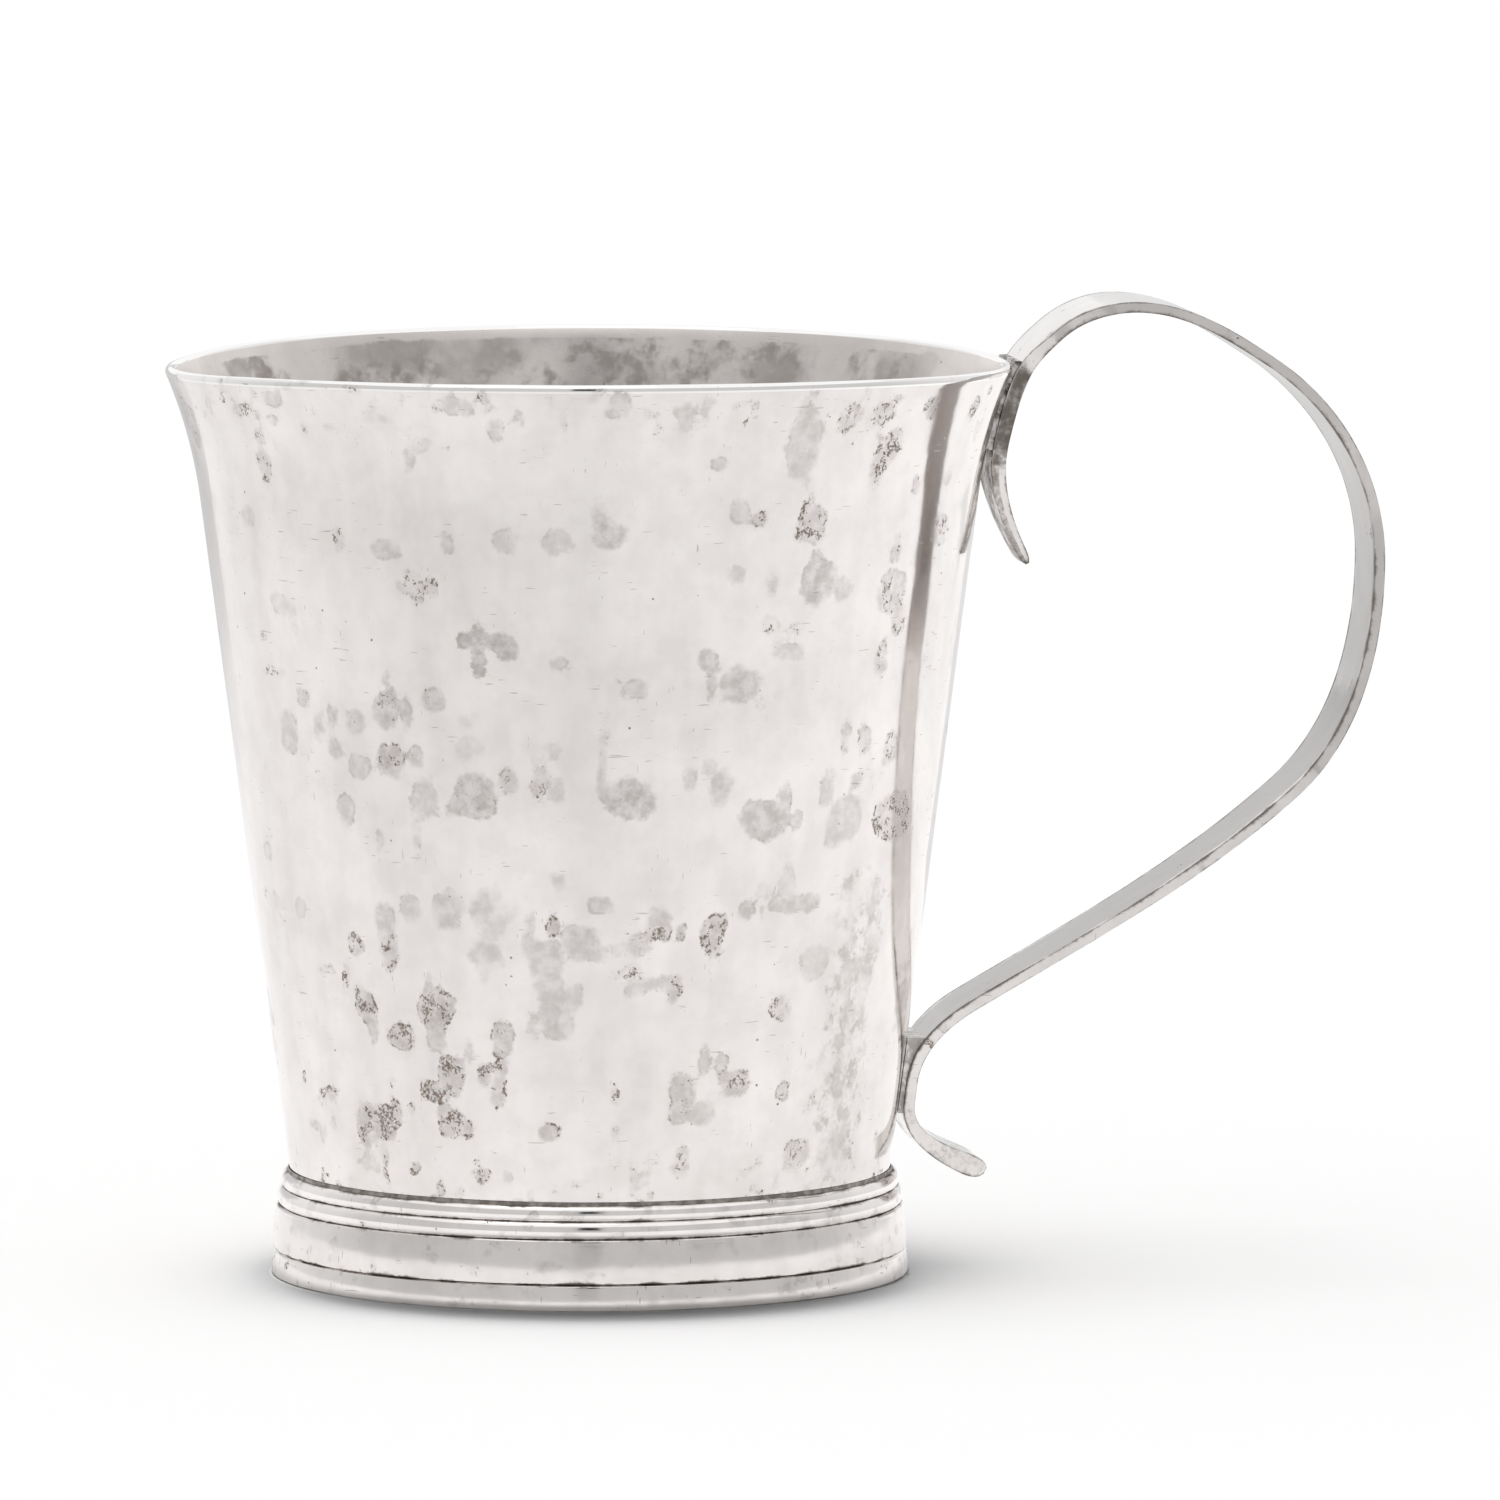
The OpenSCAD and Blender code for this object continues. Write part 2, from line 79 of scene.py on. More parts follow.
# Stains of the front: degrees from the front, height, half sizes in the same units, greyness, pits
FRONT_STAINS: tuple[tuple[float, ...], ...] = (
    (-18.7, 68.7, 1.3, 1.1, 0.8), (-16.5, 67.4, 1.1, 2.2, 0.8), (-12.3, 68.3, 2.0, 1.3, 0.8, 0.1),
    (-4.0, 66.5, 1.3, 0.7, 0.4), (7.5, 64.0, 2.0, 1.0, 0.4), (18.8, 66.8, 1.2, 0.9, 0.6),
    (19.6, 64.3, 0.8, 1.4, 0.4), (24.6, 64.0, 3.4, 1.8, 0.6), (32.1, 67.3, 2.2, 0.8, 0.4),
    (-24.2, 62.6, 1.8, 1.3, 0.55, 0.3), (-32.5, 61.5, 2.4, 2.0, 0.75, 0.5), (-29.2, 61.0, 1.0, 1.2, 0.5),
    (-32.5, 64.6, 0.9, 0.8, 0.5), (-32.6, 56.2, 2.4, 1.8, 0.8, 0.6), (-28.0, 56.7, 1.2, 1.0, 0.5, 0.3),
    (-43.5, 60.0, 1.0, 1.2, 0.6), (-43.5, 57.0, 1.2, 1.2, 0.5), (-39.0, 59.7, 1.8, 1.2, 0.5, 0.3),
    (-47.0, 59.4, 1.0, 1.1, 0.5), (-49.8, 61.7, 1.5, 0.8, 0.45, 0.4), (-55.0, 58.2, 2.4, 2.2, 0.4),
    (-42.7, 50.8, 1.7, 1.5, 0.55, 0.3), (-38.8, 55.1, 2.0, 1.3, 0.35), (-26.7, 52.6, 2.2, 2.2, 0.45),
    (-28.8, 48.2, 0.8, 1.2, 0.3), (-17.9, 52.9, 3.4, 2.2, 0.75, 0.3), (-21.6, 52.0, 1.2, 0.9, 0.5),
    (-12.3, 54.3, 1.3, 1.2, 0.6, 0.6), (-7.1, 54.5, 1.5, 2.2, 0.65, 0.5), (-4.6, 57.6, 1.1, 0.7, 0.5, 0.6),
    (-4.4, 53.2, 0.7, 1.3, 0.4), (7.1, 52.6, 4.0, 2.1, 0.75, 0.2), (2.6, 56.0, 0.6, 3.0, 0.4),
    (16.7, 54.3, 1.1, 1.1, 0.5), (21.8, 53.7, 1.8, 2.0, 0.55), (20.0, 55.7, 1.2, 0.8, 0.35),
    (30.8, 49.8, 4.0, 2.0, 0.65, 0.2), (27.5, 51.0, 2.2, 1.2, 0.5), (33.7, 51.5, 1.0, 1.4, 0.6, 0.4),
    (35.8, 49.8, 1.2, 1.0, 0.5), (42.3, 52.9, 1.4, 2.0, 0.45, 0.2), (45.0, 57.9, 0.9, 1.8, 0.45, 0.4),
    (49.6, 57.3, 1.3, 1.5, 0.4, 0.5), (56.7, 56.5, 1.8, 1.8, 0.3, 0.5), (48.8, 53.4, 1.5, 0.9, 0.5, 0.5),
    (46.7, 49.6, 4.0, 2.3, 0.45, 0.2), (44.6, 47.6, 2.0, 1.0, 0.4), (60.8, 49.0, 6.0, 2.4, 0.5, 0.8),
    (56.2, 49.5, 2.4, 1.4, 0.6, 0.8), (-35.8, 39.6, 2.0, 1.5, 0.5), (-30.8, 40.9, 2.0, 1.4, 0.45),
    (-24.2, 40.9, 2.8, 1.9, 0.55, 0.3), (-17.5, 41.0, 2.2, 2.0, 0.5), (-16.2, 39.3, 2.0, 1.5, 0.45),
    (-17.5, 36.8, 2.4, 1.2, 0.45), (-35.8, 36.2, 1.7, 2.2, 0.75, 0.8), (-43.3, 36.8, 1.7, 1.0, 0.7, 0.9),
    (-5.8, 39.6, 1.1, 1.1, 0.75, 0.6), (2.1, 41.8, 1.8, 0.9, 0.5), (-4.6, 44.3, 0.9, 0.6, 0.35),
    (-9.6, 39.0, 1.0, 2.0, 0.45), (-6.7, 36.2, 3.0, 2.0, 0.5), (-0.8, 37.9, 3.5, 1.8, 0.55),
    (1.7, 36.8, 2.0, 0.9, 0.4), (-5.8, 33.4, 2.4, 2.2, 0.45), (-5.4, 30.1, 3.4, 2.2, 0.55, 0.1),
    (-9.2, 29.3, 1.2, 1.4, 0.35), (-2.1, 31.8, 1.2, 1.6, 0.45), (12.5, 40.4, 1.9, 1.1, 0.5),
    (12.3, 39.0, 1.9, 1.0, 0.75, 0.7), (16.1, 38.7, 0.8, 0.8, 0.7, 0.4), (8.7, 37.6, 2.2, 1.1, 0.5, 0.3),
    (21.8, 38.4, 2.3, 2.1, 0.75, 0.8), (27.9, 40.7, 1.3, 1.1, 0.6, 0.1), (36.7, 41.2, 4.2, 0.7, 0.5),
    (40.0, 41.2, 1.2, 0.8, 0.5), (13.3, 33.5, 3.2, 0.8, 0.6, 0.6), (15.4, 33.1, 1.2, 1.2, 0.7, 0.8),
    (8.2, 33.1, 1.5, 1.0, 0.35), (35.4, 30.4, 2.4, 1.4, 0.5, 0.6), (42.5, 34.8, 3.0, 1.8, 0.3, 0.2),
    (-42.1, 30.4, 2.4, 1.7, 0.8, 0.7), (-40.8, 28.4, 0.8, 1.0, 0.5),
    (-34.6, 27.6, 2.7, 1.3, 0.8, 0.7), (-27.1, 30.7, 3.4, 2.2, 0.85, 0.6), (-28.2, 32.9, 1.0, 1.0, 0.6),
    (-27.5, 27.6, 1.9, 1.2, 0.5), (-15.0, 27.6, 2.0, 1.7, 0.65, 0.4), (-21.2, 26.5, 0.9, 1.0, 0.4),
    (-24.6, 23.7, 2.6, 2.0, 0.8, 0.9), (-29.2, 22.0, 2.6, 1.2, 0.8, 0.95), (-18.5, 24.1, 1.0, 0.9, 0.8, 0.8),
    (-15.4, 23.7, 1.1, 1.8, 0.75, 0.9), (-16.0, 21.5, 1.1, 1.2, 0.5, 0.7), (-44.2, 17.9, 3.2, 2.2, 0.85, 1.0),
    (-40.0, 18.4, 2.5, 1.9, 0.8, 1.0), (-37.0, 19.5, 1.6, 1.6, 0.8, 1.0), (-33.7, 20.1, 0.8, 0.5, 0.6, 0.9),
    (-37.7, 22.3, 0.7, 0.7, 0.6, 1.0), (-24.6, 18.7, 3.4, 1.5, 0.7, 0.8), (-26.7, 19.5, 1.4, 1.2, 0.6, 0.8),
    (-6.2, 18.3, 2.0, 0.9, 0.8, 0.9), (5.2, 22.6, 0.8, 0.9, 0.7, 0.9), (5.2, 17.9, 0.6, 0.6, 0.6, 0.8),
    (-19.6, 13.5, 1.5, 0.9, 0.8, 1.0), (-40.8, 14.2, 0.6, 1.2, 0.7, 0.9), (-33.7, 13.7, 1.0, 0.5, 0.7, 0.9),
    (-55.0, 20.5, 2.4, 0.8, 0.6, 1.0), (-63.7, 22.0, 0.6, 0.4, 0.7, 1.0), (17.5, 21.7, 2.6, 2.4, 0.65, 0.3),
    (17.0, 20.4, 2.2, 1.3, 0.5, 0.4), (21.2, 20.0, 2.2, 1.3, 0.5), (27.5, 22.8, 2.8, 1.4, 0.65, 0.5),
    (24.8, 25.0, 0.9, 1.0, 0.4, 0.5), (21.0, 25.4, 0.8, 1.2, 0.4), (37.5, 21.8, 1.5, 1.0, 0.6, 0.6),
    (17.7, 15.1, 1.3, 1.8, 0.6, 0.8), (42.5, 15.0, 3.2, 1.4, 0.55, 0.4),
    (3.3, 79.6, 2.7, 1.4, 0.6), (2.0, 81.0, 1.0, 1.4, 0.5), (-3.8, 79.0, 2.2, 1.2, 0.4),
    (-11.7, 79.0, 1.8, 1.3, 0.3), (-30.4, 77.8, 2.0, 0.8, 0.4), (-20.4, 78.7, 0.8, 0.8, 0.35),
    (-39.0, 78.7, 1.0, 0.9, 0.4, 0.9), (-23.3, 74.0, 0.8, 1.2, 0.3, 0.9), (36.7, 74.3, 2.9, 2.4, 0.65, 0.1),
    (35.8, 76.0, 1.4, 1.6, 0.5), (42.0, 73.3, 1.4, 1.0, 0.45, 0.3), (28.5, 74.3, 1.1, 1.2, 0.5),
    (22.7, 75.4, 1.3, 0.9, 0.35), (34.6, 80.1, 2.6, 2.0, 0.55, 0.6), (33.8, 82.0, 1.0, 1.0, 0.5, 0.7),
    (26.2, 81.1, 0.9, 0.9, 0.6, 0.8), (23.0, 82.0, 1.2, 1.2, 0.3), (19.2, 87.0, 0.9, 0.6, 0.35),
    (32.0, 89.0, 2.6, 4.0, 0.45), (38.8, 91.2, 1.5, 1.5, 0.6, 0.7), (45.0, 91.2, 2.2, 1.2, 0.5, 0.5),
    (48.7, 88.2, 1.8, 1.4, 0.55, 0.95), (46.2, 85.9, 1.6, 2.0, 0.55, 0.95), (55.0, 91.8, 1.7, 1.4, 0.8, 0.95),
    (13.5, 91.5, 1.4, 1.5, 0.5), (16.7, 92.9, 1.0, 1.0, 0.4), (4.6, 92.9, 1.4, 1.2, 0.5),
    (-12.3, 90.1, 1.0, 1.0, 0.45), (-17.0, 92.6, 2.0, 1.0, 0.4), (-25.4, 87.3, 0.8, 1.1, 0.45),
    (-52.5, 89.0, 1.2, 0.9, 0.35, 0.5), (-53.0, 85.4, 1.5, 1.6, 0.4, 0.6), (-48.0, 92.9, 1.8, 0.7, 0.4),
    (-59.6, 80.4, 1.6, 1.0, 0.3), (52.5, 72.6, 3.4, 2.2, 0.45, 0.5), (55.0, 70.1, 1.6, 1.6, 0.4, 0.7),
    (52.5, 77.3, 1.0, 1.2, 0.4, 0.6), (64.6, 78.7, 3.0, 1.5, 0.4, 0.8), (51.7, 65.7, 1.2, 1.6, 0.45, 0.6),
    (55.8, 83.7, 0.8, 0.7, 0.5, 0.9),
)


class Bench:
    """Modelling steps that several pieces share."""

    weld = 0.002 * MM

    @staticmethod
    def clear() -> None:
        """Leaves edit mode and deselects everything."""
        if bpy.context.mode != "OBJECT":
            bpy.ops.object.mode_set(mode="OBJECT")
        bpy.ops.object.select_all(action="DESELECT")

    @staticmethod
    def pick(piece: bpy.types.Object) -> None:
        """Makes a piece the only one that is selected.

        Args:
            piece: the object to select.
        """
        Bench.clear()
        piece.select_set(True)
        bpy.context.view_layer.objects.active = piece

    @staticmethod
    def edit(piece: bpy.types.Object, chosen: Optional[np.ndarray] = None) -> None:
        """Opens a piece in edit mode.

        Args:
            piece: the object to open.
            chosen: which vertices are selected, or None for all of them.
        """
        Bench.pick(piece)
        bpy.ops.object.mode_set(mode="EDIT")
        bpy.ops.mesh.select_mode(type="VERT")
        bpy.ops.mesh.select_all(action="SELECT" if chosen is None else "DESELECT")
        if chosen is not None:
            bpy.ops.object.mode_set(mode="OBJECT")
            piece.data.vertices.foreach_set("select", chosen)
            bpy.ops.object.mode_set(mode="EDIT")

    @staticmethod
    def places(piece: bpy.types.Object) -> np.ndarray:
        """Measures a piece.

        Args:
            piece: the object to measure.

        Returns:
            Its vertices in millimetres, one row each.
        """
        flat = np.empty(len(piece.data.vertices) * 3)
        piece.data.vertices.foreach_get("co", flat)
        return flat.reshape(-1, 3) / MM

    @staticmethod
    def turn(name: str, outline: Sequence[Point], steps: int) -> bpy.types.Object:
        """Turns a closed outline about the cup's axis, as on a lathe.

        Args:
            name: name of the new piece.
            outline: (radius, height) corners in millimetres; the last joins the first.
            steps: number of steps around the axis.

        Returns:
            The turned piece, with its faces pointing outwards.
        """
        Bench.clear()
        bpy.ops.mesh.primitive_plane_add(size=MM)
        piece = bpy.context.object
        piece.name = piece.data.name = name
        bpy.ops.object.mode_set(mode="EDIT")
        bpy.ops.mesh.select_all(action="SELECT")
        bpy.ops.mesh.merge(type="CENTER")
        bpy.ops.transform.translate(value=(outline[0][0] * MM, 0, outline[0][1] * MM))
        for here, there in zip(outline, outline[1:]):
            step = ((there[0] - here[0]) * MM, 0, (there[1] - here[1]) * MM)
            bpy.ops.mesh.extrude_vertices_move(TRANSFORM_OT_translate={"value": step})
        bpy.ops.object.mode_set(mode="OBJECT")
        ends = np.zeros(len(outline), dtype=bool)
        ends[0] = ends[-1] = True
        Bench.edit(piece, ends)
        bpy.ops.mesh.edge_face_add()
        Bench.apply(piece, "SCREW", angle=math.tau, steps=steps, render_steps=steps,
                    use_merge_vertices=True, merge_threshold=Bench.weld)
        Bench.edit(piece)
        bpy.ops.mesh.remove_doubles(threshold=Bench.weld)
        bpy.ops.mesh.normals_make_consistent(inside=False)
        Bench.clear()
        return piece

    @staticmethod
    def apply(piece: bpy.types.Object, kind: str, **settings: object) -> None:
        """Adds one modifier to a piece and applies it.

        Args:
            piece: the object to change.
            kind: the modifier's type.
            settings: the modifier's values.
        """
        Bench.pick(piece)
        modifier = piece.modifiers.new(kind.lower(), kind)
        for key, value in settings.items():
            setattr(modifier, key, value)
        bpy.ops.object.modifier_apply(modifier=modifier.name)

    @staticmethod
    def planish(piece: bpy.types.Object, size: float, depth: float) -> None:
        """Gives a piece the low waves that a hammer leaves, all of them inwards.

        Args:
            piece: the object to change.
            size: width of one wave, in millimetres.
            depth: depth of the deepest wave, in millimetres.
        """
        waves = bpy.data.textures.new(piece.name + "_waves", type="CLOUDS")
        waves.noise_scale = size * MM
        waves.noise_depth = 1
        Bench.apply(piece, "DISPLACE", texture=waves, texture_coords="LOCAL", strength=depth * MM,
                    mid_level=1.0)

    @staticmethod
    def smooth(piece: bpy.types.Object, angle: float) -> None:
        """Shades a piece smooth up to an angle between faces, in degrees."""
        Bench.pick(piece)
        bpy.ops.object.shade_smooth_by_angle(angle=math.radians(angle))


class Wear:
    """Stains, pits and grime of one piece, painted on its vertices."""

    ramp = 2.4
    square = 2.5
    film_share = 0.05

    def __init__(self, u: np.ndarray, v: np.ndarray, unit: float = 1.0,
                 period: Optional[float] = None) -> None:
        """Takes the surface's own coordinates.

        Args:
            u: first coordinate of each vertex, an angle or a length.
            v: second coordinate of each vertex, a length in millimetres.
            unit: first-coordinate units in a millimetre.
            period: value after which u comes round again, if it does.
        """
        self.u, self.v, self.period, self.unit = u, v, period, unit
        self.shape = np.zeros(len(u))
        self.share = np.full(len(u), 1e-9)
        self.depth = np.zeros(len(u))
        self.pits = np.zeros(len(u))
        self.grime = np.zeros(len(u))

    def stain(self, stains: Iterable[Stain], where: Optional[np.ndarray] = None) -> None:
        """Adds stains; where two meet, they share the place.

        Args:
            stains: the stains to add.
            where: the vertices that may take them, or None for all.
        """
        for patch in stains:
            near = np.abs(self.v - patch.v) < 3 * patch.half_v + self.ramp
            if where is not None:
                near &= where
            rows = np.nonzero(near)[0]
            du = self.u[rows] - patch.u
            if self.period:
                du = (du + self.period / 2) % self.period - self.period / 2
            aside, above = np.abs(du / patch.half_u), np.abs((self.v[rows] - patch.v) / patch.half_v)
            far = (aside ** self.square + above ** self.square) ** (1 / self.square)
            inwards = (1 - far) * min(patch.half_u / self.unit, patch.half_v)
            shape = np.clip(0.5 + inwards / self.ramp, 0, 1)
            share = shape ** 4
            self.shape[rows] = np.maximum(self.shape[rows], shape)
            self.share[rows] += share
            self.depth[rows] += share * patch.depth
            self.pits[rows] += share * patch.pits

    def film(self, shape: Union[float, np.ndarray], depth: float, where: np.ndarray) -> None:
        """Lays a thin stain over a whole side, which the finish breaks up into blots.

        Args:
            shape: how much of the side it covers, the same all over or at each vertex.
            depth: how grey it is.
            where: the vertices of that side.
        """
        share = where * self.film_share
        self.shape = np.maximum(self.shape, shape * where)
        self.share += share
        self.depth += share * depth

    def soil(self, amount: np.ndarray) -> None:
        """Adds grime where it lies thicker than what is there."""
        self.grime = np.maximum(self.grime, np.clip(amount, 0, 1))

    def paint(self, piece: bpy.types.Object) -> None:
        """Writes the wear to the piece's own attribute.

        Args:
            piece: the object whose vertices were taken.
        """
        layer = piece.data.color_attributes.new(name="wear", type="FLOAT_COLOR", domain="POINT")
        rows = np.stack([self.shape, self.depth / self.share, self.pits / self.share, self.grime], axis=1)
        layer.data.foreach_set("color", rows.astype(np.float32).ravel())


def scatter(seed: int, count: int, u: Point, v: Point, half: Point, unit: float,
            depths: Point = (0.3, 0.8), pitted: Point = (-0.5, 1.0)) -> list[Stain]:
    """Draws stains at random for a side that no picture shows.

    Args:
        seed: start of the random draws.
        count: number of clusters.
        u: lowest and highest first coordinate.
        v: lowest and highest second coordinate.
        half: smallest and largest half size, in millimetres.
        unit: first-coordinate units in a millimetre.
        depths: lightest and darkest grey.
        pitted: least and most pits; less than none counts as none.

    Returns:
        The stains of all clusters.
    """
    draw = random.Random(seed)
    stains = []
    for _ in range(count):
        middle_u, middle_v = draw.uniform(*u), draw.uniform(*v)
        depth, pits = draw.uniform(*depths), max(0.0, draw.uniform(*pitted))
        for _ in range(draw.randint(1, 4)):
            size_u, size_v = draw.uniform(*half), draw.uniform(*half)
            stains.append(Stain(
                middle_u + draw.gauss(0, 1.6) * unit, middle_v + draw.gauss(0, 1.4),
                size_u * unit, size_v, depth * draw.uniform(0.7, 1.0), pits,
            ))
    return stains


class Nodes:
    """A node tree, with one short method for each kind of node that the finishes use."""

    def __init__(self, tree: bpy.types.NodeTree) -> None:
        """Empties the tree."""
        self.tree = tree
        tree.nodes.clear()

    def add(self, kind: str, **settings: object) -> bpy.types.Node:
        """Adds a node.

        Args:
            kind: its type, without the words that all shader nodes share.
            settings: its settings by name.

        Returns:
            The new node.
        """
        node = self.tree.nodes.new("ShaderNode" + kind)
        for key, value in settings.items():
            setattr(node, key, value)
        return node

    def feed(self, socket: Socket, source: Union[Source, Sequence[float]]) -> None:
        """Links a source to a socket, or sets it there as a value.

        Args:
            socket: the input to feed.
            source: an output, a number or a row of numbers.
        """
        if isinstance(source, Socket):
            self.tree.links.new(source, socket)
        else:
            socket.default_value = source

    def math(self, operation: str, *sources: Source, clamp: bool = False) -> Socket:
        """Does one step of arithmetic.

        Args:
            operation: the step's name.
            sources: what it works on.
            clamp: whether the result is kept between 0 and 1.

        Returns:
            The result.
        """
        node = self.add("Math", operation=operation, use_clamp=clamp)
        for socket, source in zip(node.inputs, sources):
            self.feed(socket, source)
        return node.outputs[0]

    def times(self, first: Source, second: Source, clamp: bool = False) -> Socket:
        """Returns the product of two sources."""
        return self.math("MULTIPLY", first, second, clamp=clamp)

    def plus(self, first: Source, second: Source) -> Socket:
        """Returns the sum of two sources."""
        return self.math("ADD", first, second)

    def minus(self, first: Source, second: Source) -> Socket:
        """Returns the first source less the second."""
        return self.math("SUBTRACT", first, second)

    def most(self, first: Source, second: Source) -> Socket:
        """Returns the larger of two sources."""
        return self.math("MAXIMUM", first, second)

    def least(self, first: Source, second: Source) -> Socket:
        """Returns the smaller of two sources."""
        return self.math("MINIMUM", first, second)

    def window(self, source: Source, low: Source, high: Source) -> Socket:
        """Makes a smooth step.

        Args:
            source: the value to test.
            low: value at which the step is 0.
            high: value at which it is 1; it may lie below low.

        Returns:
            The step's height.
        """
        node = self.add("MapRange", interpolation_type="SMOOTHSTEP")
        self.feed(node.inputs["Value"], source)
        self.feed(node.inputs["From Min"], low)
        self.feed(node.inputs["From Max"], high)
        return node.outputs["Result"]

    def blend(self, amount: Source, first: Union[Source, Colour], second: Union[Source, Colour]) -> Socket:
        """Mixes two colours.

        Args:
            amount: share of the second colour.
            first: the first colour.
            second: the second colour.

        Returns:
            The mixed colour.
        """
        node = self.add("Mix", data_type="RGBA")
        self.feed(node.inputs[0], amount)
        for socket, source in ((node.inputs[6], first), (node.inputs[7], second)):
            self.feed(socket, source if isinstance(source, Socket) else (*source, 1.0))
        return node.outputs[2]

    def noise(self, vector: Socket, size: float, detail: float = 2.0, rough: float = 0.5) -> Socket:
        """Makes cloudy noise.

        Args:
            vector: coordinates.
            size: width of its features, in millimetres.
            detail: number of finer layers.
            rough: how strong the finer layers are.

        Returns:
            The noise, from 0 to 1.
        """
        node = self.add("TexNoise")
        self.feed(node.inputs["Vector"], vector)
        self.feed(node.inputs["Scale"], 1 / (size * MM))
        self.feed(node.inputs["Detail"], detail)
        self.feed(node.inputs["Roughness"], rough)
        return node.outputs["Fac"]

    def wobble(self, vector: Socket, scale: float, reach: float) -> Socket:
        """Shifts coordinates about, so that round dots get ragged edges.

        Args:
            vector: coordinates.
            scale: number of shifts in a metre.
            reach: largest shift, in millimetres.

        Returns:
            The new coordinates.
        """
        shift, small = self.add("TexNoise"), self.add("VectorMath", operation="SCALE")
        self.feed(shift.inputs["Vector"], vector)
        self.feed(shift.inputs["Scale"], scale)
        self.feed(small.inputs[0], shift.outputs["Color"])
        self.feed(small.inputs["Scale"], reach * MM)
        moved = self.add("VectorMath", operation="ADD")
        self.feed(moved.inputs[0], vector)
        self.feed(moved.inputs[1], small.outputs[0])
        return moved.outputs[0]

    def cells(self, vector: Socket, size: float) -> tuple[Socket, Socket]:
        """Scatters points through space.

        Args:
            vector: coordinates.
            size: distance between points, in millimetres.

        Returns:
            The distance to the nearest point, and a random number for each point.
        """
        node = self.add("TexVoronoi")
        self.feed(node.inputs["Vector"], vector)
        self.feed(node.inputs["Scale"], 1 / (size * MM))
        split = self.add("SeparateColor")
        self.feed(split.inputs[0], node.outputs["Color"])
        return node.outputs["Distance"], split.outputs[0]

    def stretch(self, vector: Socket, scale: Sequence[float], turn: Sequence[float] = (0, 0, 0)) -> Socket:
        """Scales and turns coordinates.

        Args:
            vector: coordinates.
            scale: scale along each axis.
            turn: angles about the axes, in degrees.

        Returns:
            The new coordinates.
        """
        node = self.add("Mapping")
        self.feed(node.inputs["Vector"], vector)
        self.feed(node.inputs["Scale"], scale)
        self.feed(node.inputs["Rotation"], tuple(math.radians(a) for a in turn))
        return node.outputs["Vector"]

    def place(self) -> Socket:
        """Returns the piece's own object coordinates."""
        return self.add("TexCoord").outputs["Object"]

    def facing(self) -> Sequence[Socket]:
        """Measures the studio from the cup.

        Returns:
            How far a point lies to the front's right, behind the cup and up, in metres.
        """
        turned = self.add("SeparateXYZ")
        self.feed(turned.inputs[0], self.stretch(self.place(), (1, 1, 1), (0, 0, -90 - FRONT)))
        return turned.outputs[:3]

    def wear(self) -> tuple[Socket, ...]:
        """Reads the wear that is painted on a piece.

        Returns:
            The stains' shape, their depth, the pits and the grime.
        """
        layer = self.add("Attribute", attribute_name="wear")
        split = self.add("SeparateColor")
        self.feed(split.inputs[0], layer.outputs["Color"])
        return (*split.outputs[:3], layer.outputs["Alpha"])

    def metal(self, colour: Source, rough: Source, height: Source) -> None:
        """Ends the tree in a metal shader.

        Args:
            colour: base colour.
            rough: roughness.
            height: relief in millimetres.
        """
        shader, bump = self.add("BsdfPrincipled"), self.add("Bump")
        self.feed(shader.inputs["Base Color"], colour)
        self.feed(shader.inputs["Roughness"], rough)
        self.feed(shader.inputs["Metallic"], 1.0)
        self.feed(bump.inputs["Distance"], MM)
        self.feed(bump.inputs["Height"], height)
        self.feed(shader.inputs["Normal"], bump.outputs["Normal"])
        self.end(shader.outputs["BSDF"])

    def end(self, shader: Socket) -> None:
        """Shows a shader on the surface."""
        self.feed(self.add("OutputMaterial").inputs["Surface"], shader)


def new_finish(name: str) -> tuple[Finish, Nodes]:
    """Starts a finish.

    Args:
        name: its name.

    Returns:
        A new material and its empty tree.
    """
    made = bpy.data.materials.new(name)
    made.use_nodes = True
    return made, Nodes(made.node_tree)


